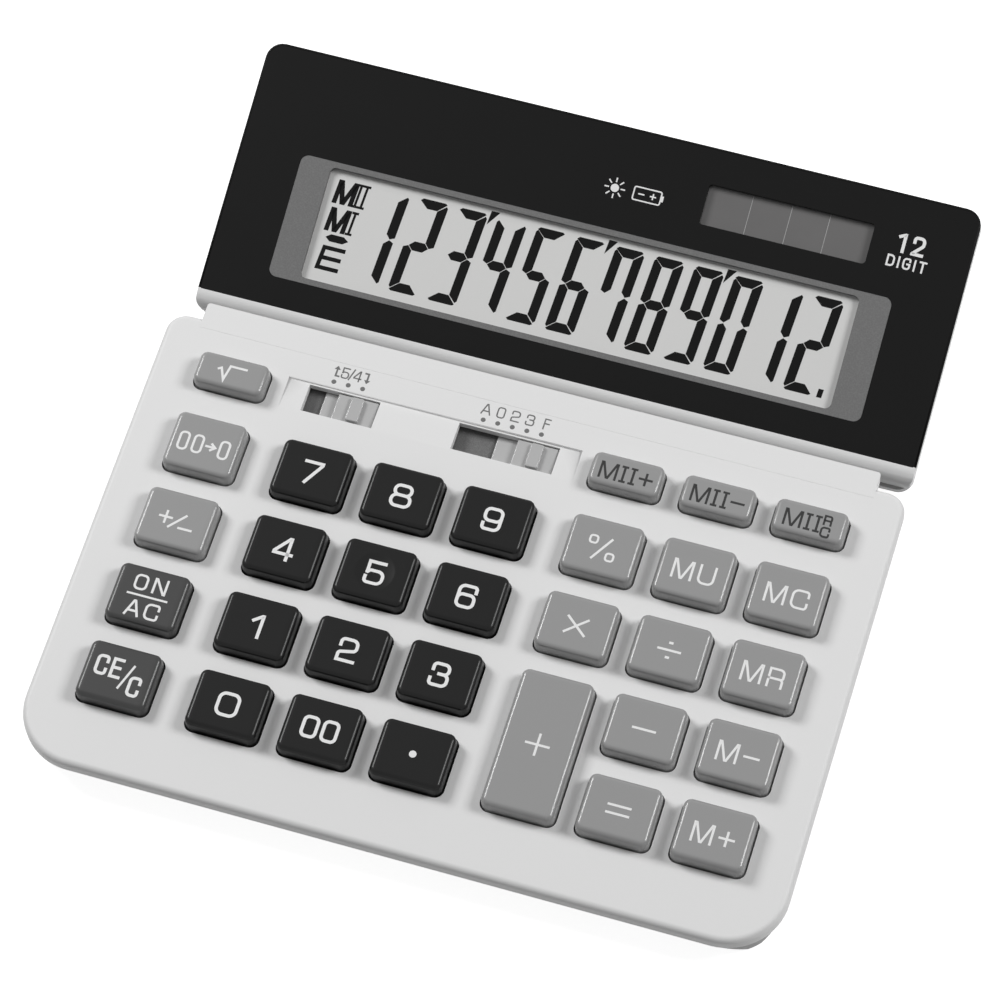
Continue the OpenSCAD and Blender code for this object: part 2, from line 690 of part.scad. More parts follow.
module case_screws() color(steel) on_deck() for (p = SCREWS)
    translate([p[0], p[1], screw_seat(p[1])]) screw(-deck_t - 1 - screw_seat(p[1]));

module main_board() color(board_green) on_deck()
    translate([-board_w / 2, board_front, board_bottom]) cube([board_w, board_depth, board_t]);

module controller_chip() color(black) on_deck()
    translate([column_x[2], row_y[1], board_bottom - 1]) cylinder(r1 = 4, r2 = 5.5, h = 1);

// The rubber sheet over the board with one dome under each key, drawn at the
// height to which a pressed key squeezes them.
module key_mat() color(light_grey) on_deck() difference() {
    union() {
        translate([-board_w / 2, board_front, board_top]) cube([board_w, board_depth, mat_t]);
        for (k = KEYS) translate([key_x(k), key_y(k), mat_top - eps])
            cylinder(r = dome_r, h = dome_top - mat_top + eps);
    }
    for (p = PEGS) translate([p[0], p[1], board_top - 1]) cylinder(r = peg_r + 0.3, h = 4);
    left = ROUNDING[0] - slot_w(ROUNDING) / 2 - recess_side;
    right = DECIMALS[0] + slot_w(DECIMALS) / 2 + recess_side;
    translate([left, slot_y - slot_d, board_top - 1]) cube([right - left, far, 4]);
}

// Felt strips that close the slots from below.
module switch_felts() color(charcoal) on_deck() for (s = [ROUNDING, DECIMALS]) {
    felt_top = plate_top - plate_t - 0.15;
    translate([s[0] - slot_w(s) / 2 - 1, slot_y - plate_d / 2, board_top])
        cube([slot_w(s) + 2, plate_d, felt_top - board_top]);
}

// The flat ribbon from the board's rear edge, out under the display and up to the hinge axis.
module base_ribbon() color(light_grey) on_desk() {
    start_y = deck_to_world_y(board_front + board_depth, board_bottom) - 3;
    start_z = deck_to_world_z(board_front + board_depth, board_bottom) - 0.55;
    drop_y = start_y + 3.6;
    half = ribbon_t / 2;
    along_x(ribbon_w)
        polygon([[start_y, start_z], [drop_y, start_z], [drop_y + 0.5, ribbon_h + half],
                 [hinge_y - half, ribbon_h + half], [hinge_y - half, hinge_h], [hinge_y + half, hinge_h],
                 [hinge_y + half, ribbon_h - half], [drop_y + 0.2, ribbon_h - half],
                 [drop_y - 0.3, start_z - ribbon_t], [start_y, start_z - ribbon_t]]);
    translate([0, hinge_y, hinge_h]) rotate([0, 90, 0]) cylinder(r = coil_r, h = ribbon_w, center = true);
}

// ---- Display ----

// The front shell: its lower edge rolls over, and the fascia lies in its recess.
module display_front_shell() color(white) on_display() {
    difference() {
        intersection() {
            translate([0, -lower_lip, parting]) linear_extrude(front_shell_h)
                round_plan(display_w, display_h + lower_lip, 1.7, display_corner_r);
            along_x(display_w + 2) {
                translate([roll_r - lower_lip, parting]) square([display_h + lower_lip, front_shell_h]);
                translate([roll_r - lower_lip, -roll_r]) circle(roll_r);
                translate([-lower_lip, parting]) square([roll_r, front_shell_h - roll_r]);
            }
        }
        translate([0, -seat_gap / 2, -fascia_t]) linear_extrude(fascia_t + 1)
            round_plan(fascia_w + seat_gap, fascia_d + seat_gap, 0.4, display_corner_r - rim);
        translate([0, shell_wall - lower_lip, parting - 1]) linear_extrude(1 + front_shell_h + shelf)
            round_plan(display_w - 2 * shell_wall, display_h + lower_lip - 2 * shell_wall, 0.5,
                       display_corner_r - shell_wall);
        translate([0, window_y, shelf - 1]) linear_extrude(4)
            square([cell_w + 2 * seat_gap, cell_d + 2 * seat_gap], center = true);
        translate([solar_x, solar_y, shelf - 1]) linear_extrude(4)
            square([solar_w + 2 * (solar_lap + seat_gap), solar_d + 2 * (solar_lap + seat_gap)], center = true);
    }
    for (p = DISPLAY_SCREWS) translate([p[0], p[1], 0]) difference() {
        translate([0, 0, parting - display_boss_lap])
            cylinder(r = display_boss_r, h = shelf - parting + display_boss_lap + eps);
        translate([0, 0, parting - display_boss_lap - 1])
            cylinder(r = screw_r, h = shelf - parting + display_boss_lap + 0.6);
    }
}

// The rear shell: a shallow tray with notches for the arms and the bosses that hold the pins.
module display_rear_shell() color(shadow_white) on_display() {
    tray_w = display_w - 2 * tray_step;
    tray_d = display_h - tray_step - tray_y;
    corner_r = display_corner_r - tray_step;
    difference() {
        union() {
            difference() {
                translate([0, tray_y, display_back]) mirror([0, 0, 1])
                    soft_slab(tray_w, tray_d, rear_shell_h, corner_r, corner_r, rear_edge_r);
                translate([0, tray_y + tray_d / 2, inner_back]) linear_extrude(far)
                    round_rect(tray_w - 2 * shell_wall, tray_d - 2 * shell_wall, corner_r - shell_wall);
            }
            for (side = [-1, 1]) for (end = [-1, 1])
                translate([side * arm_x + end * (notch_w + pin_boss_w) / 2, pivot_up, -pivot_depth])
                    pin_boss();
            for (p = DISPLAY_SCREWS) translate([p[0], p[1], inner_back - eps])
                cylinder(r = display_boss_r + 0.5, h = parting - display_boss_lap - inner_back + eps);
            for (x = [-0.34, 0, 0.34]) for (y = [window_y - 7, window_y + 9])
                translate([x * fascia_w, y, inner_back - eps])
                    cylinder(r = standoff_r, h = display_board_top - board_t - inner_back + eps);
        }
        for (side = [-1, 1]) translate([side * arm_x - notch_w / 2, tray_y - 1, display_back - 1])
            cube([notch_w, 1 - tray_y + pivot_up + barrel_r + arm_gap, rear_shell_h + 1 + eps]);
        translate([-ribbon_w / 2 - 1, tray_y - 1, display_back - 1])
            cube([ribbon_w + 2, 1 - tray_y + pivot_up + barrel_r, rear_shell_h + 1 + eps]);
        for (side = [-1, 1]) translate([side * arm_x, pivot_up, -pivot_depth]) rotate([0, 90, 0])
            cylinder(r = pin_r, h = notch_w + 2 * pin_boss_w + 1, center = true);
        for (p = DISPLAY_SCREWS) translate([p[0], p[1], display_back - 1]) {
            cylinder(r = screw_head_r + 0.2, h = 1 + display_screw_sink);
            cylinder(r = screw_r + pilot_clearance, h = far / 2);
        }
    }
}

// A boss beside a notch, on a web that stands on the rear wall.
module pin_boss() {
    rotate([0, 90, 0]) cylinder(r = barrel_r, h = pin_boss_w, center = true);
    translate([-pin_boss_w / 2, -barrel_r, inner_back + pivot_depth - eps])
        cube([pin_boss_w, 2 * barrel_r, -inner_back - pivot_depth + eps]);
}

module hinge_pins() color(steel) on_display() for (side = [-1, 1])
    translate([side * arm_x, pivot_up, -pivot_depth]) rotate([0, 90, 0])
        cylinder(r = pin_r, h = notch_w + 2 * pin_boss_w, center = true);

module fascia_panel() color(black) on_display() difference() {
    translate([0, 0, -fascia_t]) linear_extrude(fascia_t)
        round_plan(fascia_w, fascia_d, 0.3, display_corner_r - rim);
    translate([0, window_y, -far / 2]) linear_extrude(far) round_rect(window_w, window_d, 1.7);
    translate([solar_x, solar_y, -far / 2]) linear_extrude(far) round_rect(solar_w, solar_d, 0.8);
}

module display_mask() color(grey) on_display() translate([0, window_y, -fascia_t]) difference() {
    linear_extrude(fascia_t - 0.05) round_rect(window_w - seat_gap, window_d - seat_gap, 1.65);
    translate([0, 0, -1]) linear_extrude(far) round_rect(glass_w, glass_d, 1.3);
}

module display_glass() color([0.8, 0.81, 0.79]) on_display()
    translate([-cell_w / 2, window_y - cell_d / 2, cell_front - glass_t]) cube([cell_w, cell_d, glass_t]);

module display_reflector() color(light_grey) on_display()
    translate([1 - cell_w / 2, window_y - cell_d / 2 + 1, cell_front - glass_t - reflector_t])
        cube([cell_w - 2, cell_d - strip_d - 2, reflector_t]);

// The striped rubber strip that joins the glass to its board.
module contact_strip() color(charcoal) on_display()
    translate([1 - cell_w / 2, window_y + cell_d / 2 - strip_d, display_board_top])
        cube([cell_w - 2, strip_d, cell_front - glass_t - display_board_top]);

module solar_panel() color([0.2, 0.17, 0.2]) on_display()
    translate([solar_x - solar_w / 2 - solar_lap, solar_y - solar_d / 2 - solar_lap, shelf])
        cube([solar_w + 2 * solar_lap, solar_d + 2 * solar_lap, shelf_t]);

module display_board() color(board_green) on_display()
    translate([-fascia_w * 0.4, window_y - cell_d / 2, display_board_top - board_t])
        cube([fascia_w * 0.8, cell_d + 2, board_t]);

module display_screws() color(steel) on_display() for (p = DISPLAY_SCREWS)
    translate([p[0], p[1], display_back + display_screw_sink])
        screw(shelf - 0.6 - display_back - display_screw_sink);

// The ribbon's second half, from the hinge axis up to the display board.
module display_ribbon() color(light_grey) on_display() {
    start = pivot_up + coil_r + 0.3;
    board_low = window_y - cell_d / 2;
    low = display_board_top - board_t;
    along_x(ribbon_w)
        polygon([[start, -pivot_depth - ribbon_t / 2], [board_low + 2, low - ribbon_t - 0.05],
                 [board_low + 4, low - ribbon_t - 0.05], [board_low + 4, low - 0.05],
                 [board_low + 2, low - 0.05], [start, -pivot_depth + ribbon_t / 2]]);
}

// ---- Pieces ----

for (k = KEYS) key(k);
rounding_slider();
decimals_slider();
rounding_wiper();
decimals_wiper();
upper_case();
lower_case();
battery_door();
battery_door_screw();
button_cell();
battery_contacts();
rubber_feet();
case_screws();
main_board();
controller_chip();
key_mat();
switch_felts();
base_ribbon();
hinge_pins();
display_front_shell();
display_rear_shell();
fascia_panel();
display_mask();
display_glass();
display_reflector();
solar_panel();
contact_strip();
display_board();
display_screws();
display_ribbon();
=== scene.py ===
import json
import math

import bmesh
import bpy
import numpy as np
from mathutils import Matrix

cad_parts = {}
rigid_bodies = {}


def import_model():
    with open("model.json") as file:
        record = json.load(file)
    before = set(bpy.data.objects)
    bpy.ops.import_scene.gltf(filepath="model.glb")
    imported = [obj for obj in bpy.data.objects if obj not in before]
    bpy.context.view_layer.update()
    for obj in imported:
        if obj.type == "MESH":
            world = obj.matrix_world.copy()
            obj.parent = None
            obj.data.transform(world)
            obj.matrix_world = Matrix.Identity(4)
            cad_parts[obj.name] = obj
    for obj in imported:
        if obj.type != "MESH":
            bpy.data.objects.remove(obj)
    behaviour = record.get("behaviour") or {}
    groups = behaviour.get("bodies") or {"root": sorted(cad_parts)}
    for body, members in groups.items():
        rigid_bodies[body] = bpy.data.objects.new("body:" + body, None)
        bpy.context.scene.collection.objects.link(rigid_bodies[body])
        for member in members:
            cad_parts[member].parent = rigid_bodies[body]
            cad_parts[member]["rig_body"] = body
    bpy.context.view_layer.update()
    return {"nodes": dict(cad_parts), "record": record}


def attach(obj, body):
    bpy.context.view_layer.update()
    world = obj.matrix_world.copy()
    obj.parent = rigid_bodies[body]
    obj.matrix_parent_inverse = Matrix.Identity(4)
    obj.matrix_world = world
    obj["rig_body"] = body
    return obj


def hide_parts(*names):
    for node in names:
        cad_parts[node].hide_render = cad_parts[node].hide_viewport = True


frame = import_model()
nodes = frame["nodes"]
mm = 0.001
print("frame loaded with", len(nodes), "nodes")

# The two tilted planes that every piece lies in, in millimetres and degrees
deckPlane = {"slope": 6.0, "frontHeight": 9.0, "depth": 97.8, "neckDepth": 3.4, "neckRise": 0.2,
             "edgeRadius": 1.3}
displayPlane = {"tilt": 22.65, "hingeBack": 11.35, "hingeHeight": 7.15, "pivotUp": 1.5, "pivotDepth": 6.0,
                "depth": 52.7, "back": 9.5, "rearRadius": 2.5, "rearInset": 0.3}


# x stays, y and z turn by the angle
def turnAboutX(points, degrees):
    angle = math.radians(degrees)
    x, y, z = np.moveaxis(np.asarray(points, float), -1, 0)
    return np.stack([x, y * math.cos(angle) - z * math.sin(angle),
                     y * math.sin(angle) + z * math.cos(angle)], -1)


neckEnd = [0, deckPlane["depth"] + deckPlane["neckDepth"], deckPlane["neckRise"]]
hingeY = turnAboutX(neckEnd, deckPlane["slope"])[1] + displayPlane["hingeBack"]
rearUp = displayPlane["depth"] - displayPlane["rearInset"] - displayPlane["rearRadius"]
rearOut = displayPlane["pivotDepth"] + displayPlane["rearRadius"] - displayPlane["back"]
rearCorner = turnAboutX([0, rearUp - displayPlane["pivotUp"], rearOut], displayPlane["tilt"])
slope = math.radians(deckPlane["slope"])
frontY = deckPlane["edgeRadius"] * (math.cos(slope) + math.sin(slope) - 1)
middleY = (frontY + hingeY + rearCorner[1] + displayPlane["rearRadius"]) / 2


# Deck millimetres (y from the front wall, z up from the deck) to the part's metres
def onDeck(points):
    return (turnAboutX(points, deckPlane["slope"]) + [0, -middleY, deckPlane["frontHeight"]]) * mm


# Display millimetres (y from the black panel's lower edge, z out of its face) to the part's metres
def onDisplay(points):
    lifted = np.asarray(points, float) + [0, -displayPlane["pivotUp"], displayPlane["pivotDepth"]]
    turned = turnAboutX(lifted, displayPlane["tilt"])
    return (turned + [0, hingeY - middleY, displayPlane["hingeHeight"]]) * mm


# A piece made of points in metres and faces
def putPiece(name, points, faces, body, material, smooth=True):
    mesh = bpy.data.meshes.new(name)
    mesh.from_pydata(np.asarray(points, float).tolist(), [], [[int(i) for i in face] for face in faces])
    mesh.polygons.foreach_set("use_smooth", [smooth] * len(mesh.polygons))
    mesh.update()
    mesh.materials.append(material)
    return addPiece(name, mesh, body)


# A mesh as a piece that rides with a body
def addPiece(name, mesh, body):
    piece = bpy.data.objects.new(name, mesh)
    bpy.context.scene.collection.objects.link(piece)
    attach(piece, body)
    return piece


# Quads between the neighbouring points of a grid, whose points are counted row by row
def gridFaces(rows, columns, rowsClosed=False, columnsClosed=False):
    low, left = np.meshgrid(np.arange(rows - 1 + rowsClosed), np.arange(columns - 1 + columnsClosed),
                            indexing="ij")
    high, right = (low + 1) % rows, (left + 1) % columns
    return np.stack([low * columns + left, low * columns + right,
                     high * columns + right, high * columns + left], -1).reshape(-1, 4)


# Rings round a rectangle with rounded corners: each quarter is a corner's centre plus the radius
# times (cos, sin), then points spread along the side, one ring for each entry of the arrays
def roundedRings(halfWidth, halfDepth, radius, steps=8, sideSteps=0):
    halfWidth, halfDepth, radius = np.broadcast_arrays(*np.atleast_1d(halfWidth, halfDepth, radius))
    angle = np.radians(np.linspace(0, 90, steps + 1) + np.array([[0], [90], [180], [270]]))
    sideX, sideY = np.array([[1], [-1], [-1], [1]]), np.array([[1], [1], [-1], [-1]])
    wide, deep, turn = (a[:, None, None] for a in (halfWidth - radius, halfDepth - radius, radius))
    quarters = np.stack([wide * sideX + turn * np.cos(angle), deep * sideY + turn * np.sin(angle)], -1)
    share = np.linspace(0, 1, sideSteps + 2)[1:-1, None]
    starts, ends = quarters[:, :, -1:], np.roll(quarters[:, :, :1], -1, 1)
    return np.concatenate([quarters, starts + share * (ends - starts)], 2).reshape(len(radius), -1, 2)


# A line through corner points, each rounded with an arc that touches both of its sides
def roundedLine(corners, radius=0.0, closed=False, steps=7):
    corners = np.array(corners, float)
    count = len(corners)
    radii = np.broadcast_to(radius, count)
    line = []
    for i, corner in enumerate(corners):
        if radii[i] <= 0 or (not closed and i in (0, count - 1)):
            line.append(corner[None])
            continue
        before, after = corners[i - 1] - corner, corners[(i + 1) % count] - corner
        lengths = np.hypot(*before), np.hypot(*after)
        before, after = before / lengths[0], after / lengths[1]
        half = math.acos(np.clip(before @ after, -1, 1)) / 2
        reach = min(radii[i] / math.tan(half), 0.499 * min(lengths))
        size = reach * math.tan(half)
        centre = corner + (before + after) / np.hypot(*(before + after)) * size / math.sin(half)
        start, end = corner + before * reach - centre, corner + after * reach - centre
        turn = math.copysign(math.pi - 2 * half, start[0] * end[1] - start[1] * end[0])
        angle = math.atan2(start[1], start[0]) + np.linspace(0, 1, steps) * turn
        line.append(centre + size * np.stack([np.cos(angle), np.sin(angle)], -1))
    return np.concatenate(line)


# Each straight stretch of a line divided so that no piece of it is longer than the step
def divided(line, closed, step):
    ends = np.roll(line, -1, 0) if closed else line[1:]
    pieces = [start + np.linspace(0, 1, max(1, math.ceil(np.hypot(*(end - start)) / step)),
                                  endpoint=False)[:, None] * (end - start)
              for start, end in zip(line, ends)]
    return np.concatenate(pieces + ([] if closed else [line[-1:]]))


# The mean of the two normals at each point, lengthened so that both sides of an offset stay parallel
def mitres(line, closed):
    along = (np.roll(line, -1, 0) - line) if closed else np.diff(line, axis=0)
    along = along / np.hypot(along[:, 0], along[:, 1])[:, None]
    normal = np.stack([-along[:, 1], along[:, 0]], -1)
    if closed:
        before, after = np.roll(normal, 1, 0), normal
    else:
        before, after = np.concatenate([normal[:1], normal]), np.concatenate([normal, normal[-1:]])
    return (before + after) / (1 + np.sum(before * after, -1))[:, None]


# A flat stroke of even width along a line: point +- mitre * width / 2, and open ends reach half the
# width further. The film says at what level its top lies and how thick it is; lift raises it
def penStroke(line, width, film, closed=False, lift=0.0):
    line = np.array(line, float)
    if not closed:
        ends = line[[0, -1]] - line[[1, -2]]
        line[[0, -1]] += ends / np.hypot(ends[:, 0], ends[:, 1])[:, None] * width / 2
    side = mitres(line, closed) * width / 2
    section = np.stack([line + side, line - side, line - side, line + side], 1)
    top = film["level"] + lift
    level = np.array([top, top, top - film["thickness"], top - film["thickness"]])[None, :, None]
    points = np.concatenate([section, np.broadcast_to(level, section.shape[:2] + (1,))], -1).reshape(-1, 3)
    faces = gridFaces(len(line), 4, closed, True).tolist()
    if not closed:
        last = 4 * (len(line) - 1)
        faces += [[3, 2, 1, 0], [last, last + 1, last + 2, last + 3]]
    return points, faces


# A flat plate of a film, with the given outline
def plate(outline, film):
    outline = np.array(outline, float)
    nextOne = np.roll(outline, -1, 0)
    if np.sum(outline[:, 0] * nextOne[:, 1] - nextOne[:, 0] * outline[:, 1]) < 0:
        outline = outline[::-1]
    count = len(outline)
    level = np.repeat([film["level"] - film["thickness"], film["level"]], count)[:, None]
    faces = gridFaces(2, count, False, True).tolist()
    faces += [list(range(count))[::-1], list(range(count, 2 * count))]
    return np.concatenate([np.concatenate([outline, outline]), level], -1), faces


# A round plate: middle + radius * (cos, sin)
def disc(x, y, radius, film, steps=24):
    angle = np.linspace(0, 2 * math.pi, steps, endpoint=False)
    return plate(np.stack([x + radius * np.cos(angle), y + radius * np.sin(angle)], -1), film)


# Several parts as one: the faces of each count on from the points before it
def joinParts(parts):
    starts = np.cumsum([0] + [len(points) for points, _ in parts])
    joined = [[int(i) + int(start) for i in face]
              for (_, faces), start in zip(parts, starts) for face in faces]
    return np.concatenate([points for points, _ in parts]), joined


# Hex colour to linear light: ((c + 0.055) / 1.055) to the power 2.4, and c / 12.92 in the darkest part
def linear(hexColour):
    channels = np.array([int(hexColour[i:i + 2], 16) for i in (1, 3, 5)]) / 255
    channels = np.where(channels <= 0.04045, channels / 12.92, ((channels + 0.055) / 1.055) ** 2.4)
    return (*channels.tolist(), 1.0)


# One shader node: settings are its own values, and an input takes a value or another node's output
def addNode(tree, kind, settings={}, inputs={}):
    added = tree.nodes.new("ShaderNode" + kind)
    for key, value in settings.items():
        setattr(added, key, value)
    for key, value in inputs.items():
        if isinstance(value, bpy.types.NodeSocket):
            tree.links.new(value, added.inputs[key])
        else:
            added.inputs[key].default_value = value
    return added


# A new material with its shader, and the piece's own place in metres as a node output
def startMaterial(name, shaderInputs):
    material = bpy.data.materials.new(name)
    material.use_nodes = True
    tree = material.node_tree
    tree.nodes.clear()
    shader = addNode(tree, "BsdfPrincipled", inputs=shaderInputs)
    addNode(tree, "OutputMaterial", inputs={"Surface": shader.outputs["BSDF"]})
    place = addNode(tree, "TexCoord").outputs["Object"]
    return material, tree, shader, place


# One pattern of the given real size in millimetres steers three things at once: the tint swings round
# its colour by the contrast, the roughness by the spread, and the relief in millimetres lifts the surface
def patterned(name, hexColour, roughness, size, kind="TexNoise", settings={}, stretch=(1, 1, 1),
              contrast=0.02, spread=0.03, relief=0.0, shaderInputs={}):
    material, tree, shader, place = startMaterial(name, shaderInputs)
    placed = addNode(tree, "Mapping", inputs={"Vector": place})
    placed.inputs["Scale"].default_value = tuple(share / (size * mm) for share in stretch)
    pattern = addNode(tree, kind, settings, {"Vector": placed.outputs["Vector"], "Scale": 1.0})
    value = pattern.outputs["Fac"] if "Fac" in pattern.outputs else pattern.outputs["Distance"]
    tint = addNode(tree, "Mix", {"data_type": "RGBA"}, {"Factor": value})
    colour = linear(hexColour)
    tint.inputs[6].default_value = (*[(1 - contrast) * c for c in colour[:3]], 1)
    tint.inputs[7].default_value = (*[min(1, (1 + contrast) * c) for c in colour[:3]], 1)
    matt = addNode(tree, "MapRange", inputs={"Value": value, "To Min": roughness - spread,
                                             "To Max": roughness + spread})
    tree.links.new(tint.outputs[2], shader.inputs["Base Color"])
    tree.links.new(matt.outputs["Result"], shader.inputs["Roughness"])
    if relief:
        bump = addNode(tree, "Bump", inputs={"Height": value, "Distance": relief * mm, "Strength": 1.0})
        tree.links.new(bump.outputs["Normal"], shader.inputs["Normal"])
    return material


# Injection-moulded ABS from a spark-eroded tool: a satin skin with a grain too fine to see singly, so
# it is drawn about three times as coarse
whiteAbs = patterned("whiteMouldedAbs", "#E1E1E1", 0.48, 0.3, contrast=0.006, relief=0.004,
                     shaderInputs={"IOR": 1.53, "Specular IOR Level": 0.3})
greyAbs = patterned("greyMouldedAbs", "#A2A2A2", 0.5, 0.35, relief=0.01, shaderInputs={"IOR": 1.53})

# ABS keys from a polished tool: smooth caps with crisp bright lines where their edges turn. Each has
# its colour, contrast, specular level, and the weight and roughness of its gloss
keyPlastics = {"grey": ("#8F8F8F", 0.008, 0.3, 0.6, 0.1), "black": ("#0A0A0A", 0.02, 0.12, 0.2, 0.1),
               "charcoal": ("#343434", 0.01, 0.28, 0.26, 0.09)}
keyMaterials = {}
for plastic, (hexColour, contrast, specular, gloss, glossRoughness) in keyPlastics.items():
    keyMaterials[plastic] = patterned(
        plastic + "KeyAbs", hexColour, 0.36, 0.35, contrast=contrast, spread=0.015, relief=0.0008,
        shaderInputs={"IOR": 1.53, "Specular IOR Level": specular, "Coat Weight": gloss,
                      "Coat Roughness": glossRoughness})

# Glossy grey ABS of the slide switches, with flow clouds a few millimetres long
sliderAbs = patterned("sliderAbs", "#ADADAD", 0.2, 4.0, stretch=(0.3, 1, 1), contrast=0.04,
                      shaderInputs={"IOR": 1.53, "Coat Weight": 0.4, "Coat Roughness": 0.08})

# Silicone rubber from a press tool: dull, with a dusty bloom
rubber = patterned("pressedSilicone", "#2C2C2D", 0.68, 1.2, contrast=0.12, spread=0.08, relief=0.01,
                   shaderInputs={"IOR": 1.43, "Specular IOR Level": 0.4})

# Glass-epoxy board under green lacquer: the woven cloth's 0.5 mm squares show through
boardLacquer = patterned("lacqueredGlassEpoxy", "#1F5A39", 0.32, 0.5, "TexChecker", contrast=0.07,
                         spread=0.02, shaderInputs={"IOR": 1.55, "Coat Weight": 0.3, "Coat Roughness": 0.1})

# Pressed wool felt: matt, with dark and light fibres in clumps; the fibres are drawn twice as thick
feltWool = patterned("pressedWoolFelt", "#6E6E6E", 0.95, 0.22, contrast=0.5, spread=0.04, relief=0.04,
                     shaderInputs={"Specular IOR Level": 0.1, "Sheen Weight": 0.25})

# Epoxy cast over the chip: a glossy black drop with slow ripples
resin = patterned("castEpoxy", "#0F0F0F", 0.2, 2.5, contrast=0.1, spread=0.06, relief=0.02,
                  shaderInputs={"IOR": 1.55})

# Nickel-plated steel, rolled: bright, with streaks along the sheet
steelPlate = patterned("nickelPlatedSteel", "#C3C0B8", 0.26, 0.3, stretch=(0.05, 1, 1), contrast=0.04,
                       spread=0.08, shaderInputs={"Metallic": 1.0})

# Aluminised film behind the cell: a silky mirror with fine cross lines
reflectorFilm = patterned("aluminisedFilm", "#DADBDC", 0.34, 0.25, stretch=(1, 0.08, 1), contrast=0.03,
                          spread=0.06, shaderInputs={"Metallic": 1.0})

# Flat cable: tinned conductors one millimetre apart under a clear film, as pale and dark bands
flatCable = patterned("flatCableFilm", "#A79F8C", 0.35, 3.14, "TexWave", {"bands_direction": "X"},
                      contrast=0.3, spread=0.05, shaderInputs={"IOR": 1.6})

# Satin acrylic sheet, painted black on its rear: deep black with a faint cloud in its gloss
fasciaBlack = patterned("backPaintedAcrylic", "#101010", 0.38, 12.0, contrast=0.03, spread=0.015,
                        shaderInputs={"IOR": 1.49, "Specular IOR Level": 0.11})

# Silk-screened metallic grey: fine flakes, each a little lighter or darker than the ground
maskGrey = patterned("flakePaintedMask", "#6C6C6C", 0.5, 0.3, "TexVoronoi", contrast=0.16, spread=0.05,
                     shaderInputs={"IOR": 1.5, "Specular IOR Level": 0.3})

# Thin-film silicon behind glass: a dull warm grey with slow clouds from the deposition
solarGlass = patterned("thinFilmSilicon", "#646363", 0.25, 9.0, contrast=0.08, spread=0.02,
                       shaderInputs={"IOR": 1.52, "Specular IOR Level": 0.4})


# The display's own millimetres as a node output: object place turned back by the tilt
def displayPlace(tree, place):
    origin = onDisplay([0, 0, 0]) / mm
    moved = turnAboutX(origin, -displayPlane["tilt"])
    placed = addNode(tree, "Mapping", {"vector_type": "POINT"}, {"Vector": place})
    placed.inputs["Scale"].default_value = (1 / mm,) * 3
    placed.inputs["Rotation"].default_value = (math.radians(-displayPlane["tilt"]), 0, 0)
    placed.inputs["Location"].default_value = tuple((-moved).tolist())
    return addNode(tree, "SeparateXYZ", inputs={"Vector": placed.outputs["Vector"]})


# Polarised liquid-crystal glass: pale grey with a fine film grain, and a painted shadow of the frame
# just under its upper edge: shade = smooth step of the distance
cellGlass = {"colour": "#D5D5D4", "roughness": 0.3, "spread": 0.03, "grain": 0.25, "contrast": 0.015,
             "top": 30.5, "topWidth": 2.6, "topShade": 0.9}


def polarisedGlass(name, look):
    material, tree, shader, place = startMaterial(name, {"IOR": 1.5, "Specular IOR Level": 0.3})
    up = displayPlace(tree, place).outputs["Y"]
    # Painted shadow of the frame: the glass's colour grows darker towards the window's upper edge
    top = addNode(tree, "MapRange", {"interpolation_type": "SMOOTHSTEP"},
                  {"Value": up, "From Min": look["top"] - look["topWidth"], "From Max": look["top"],
                   "To Min": 1.0, "To Max": look["topShade"]})
    grain = addNode(tree, "TexNoise", inputs={"Vector": place, "Scale": 1 / (look["grain"] * mm),
                                              "Detail": 1.0}).outputs["Fac"]
    film = addNode(tree, "MapRange", inputs={"Value": grain, "To Min": 1 - look["contrast"],
                                             "To Max": 1 + look["contrast"]})
    shade = addNode(tree, "Math", {"operation": "MULTIPLY"},
                    {0: top.outputs["Result"], 1: film.outputs["Result"]})
    tint = addNode(tree, "VectorMath", {"operation": "SCALE"}, {"Scale": shade.outputs[0]})
    tint.inputs[0].default_value = linear(look["colour"])[:3]
    matt = addNode(tree, "MapRange", inputs={"Value": grain, "To Min": look["roughness"] - look["spread"],
                                             "To Max": look["roughness"] + look["spread"]})
    tree.links.new(tint.outputs["Vector"], shader.inputs["Base Color"])
    tree.links.new(matt.outputs["Result"], shader.inputs["Roughness"])
    return material


cellGrey = polarisedGlass("polarisedGlass", cellGlass)

# Screen-printed inks: an even satin film a few hundredths thick, a little rough where it dried
inkLook = {"spread": 0.05, "shaderInputs": {"IOR": 1.5, "Specular IOR Level": 0.3}}
whiteInk = patterned("whitePrintedInk", "#E8E8E8", 0.5, 0.4, **inkLook)
darkInk = patterned("darkPrintedInk", "#2B2B2B", 0.5, 0.4, **inkLook)
greyInk = patterned("greyPrintedInk", "#6C6C6C", 0.5, 0.4, **inkLook)
contactInk = patterned("cellContactLines", "#A5A5A5", 0.4, 0.4, **inkLook)

# Darkened liquid crystal: nearly black bars, flat and smooth under the cell's glass
figureInk = patterned("darkLiquidCrystal", "#070707", 0.32, 0.6, contrast=0.05,
                      shaderInputs={"IOR": 1.5, "Specular IOR Level": 0.12})

# The record's slots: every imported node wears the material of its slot
slotMaterials = {"key_" + plastic: material for plastic, material in keyMaterials.items()}
slotMaterials.update({
    "case_white": whiteAbs, "case_grey": greyAbs, "switch_grey": sliderAbs, "fascia_black": fasciaBlack,
    "mask_grey": maskGrey, "display_glass": cellGrey, "solar_glass": solarGlass, "board": boardLacquer,
    "reflector": reflectorFilm, "chip": resin, "mat": rubber, "felt": feltWool, "ribbon": flatCable,
    "rubber": rubber, "steel": steelPlate})
for part in frame["record"]["subparts"]:
    mesh = nodes[part["node"]].data
    mesh.materials.clear()
    mesh.materials.append(slotMaterials[part["material_slot"]])
print("materials done")


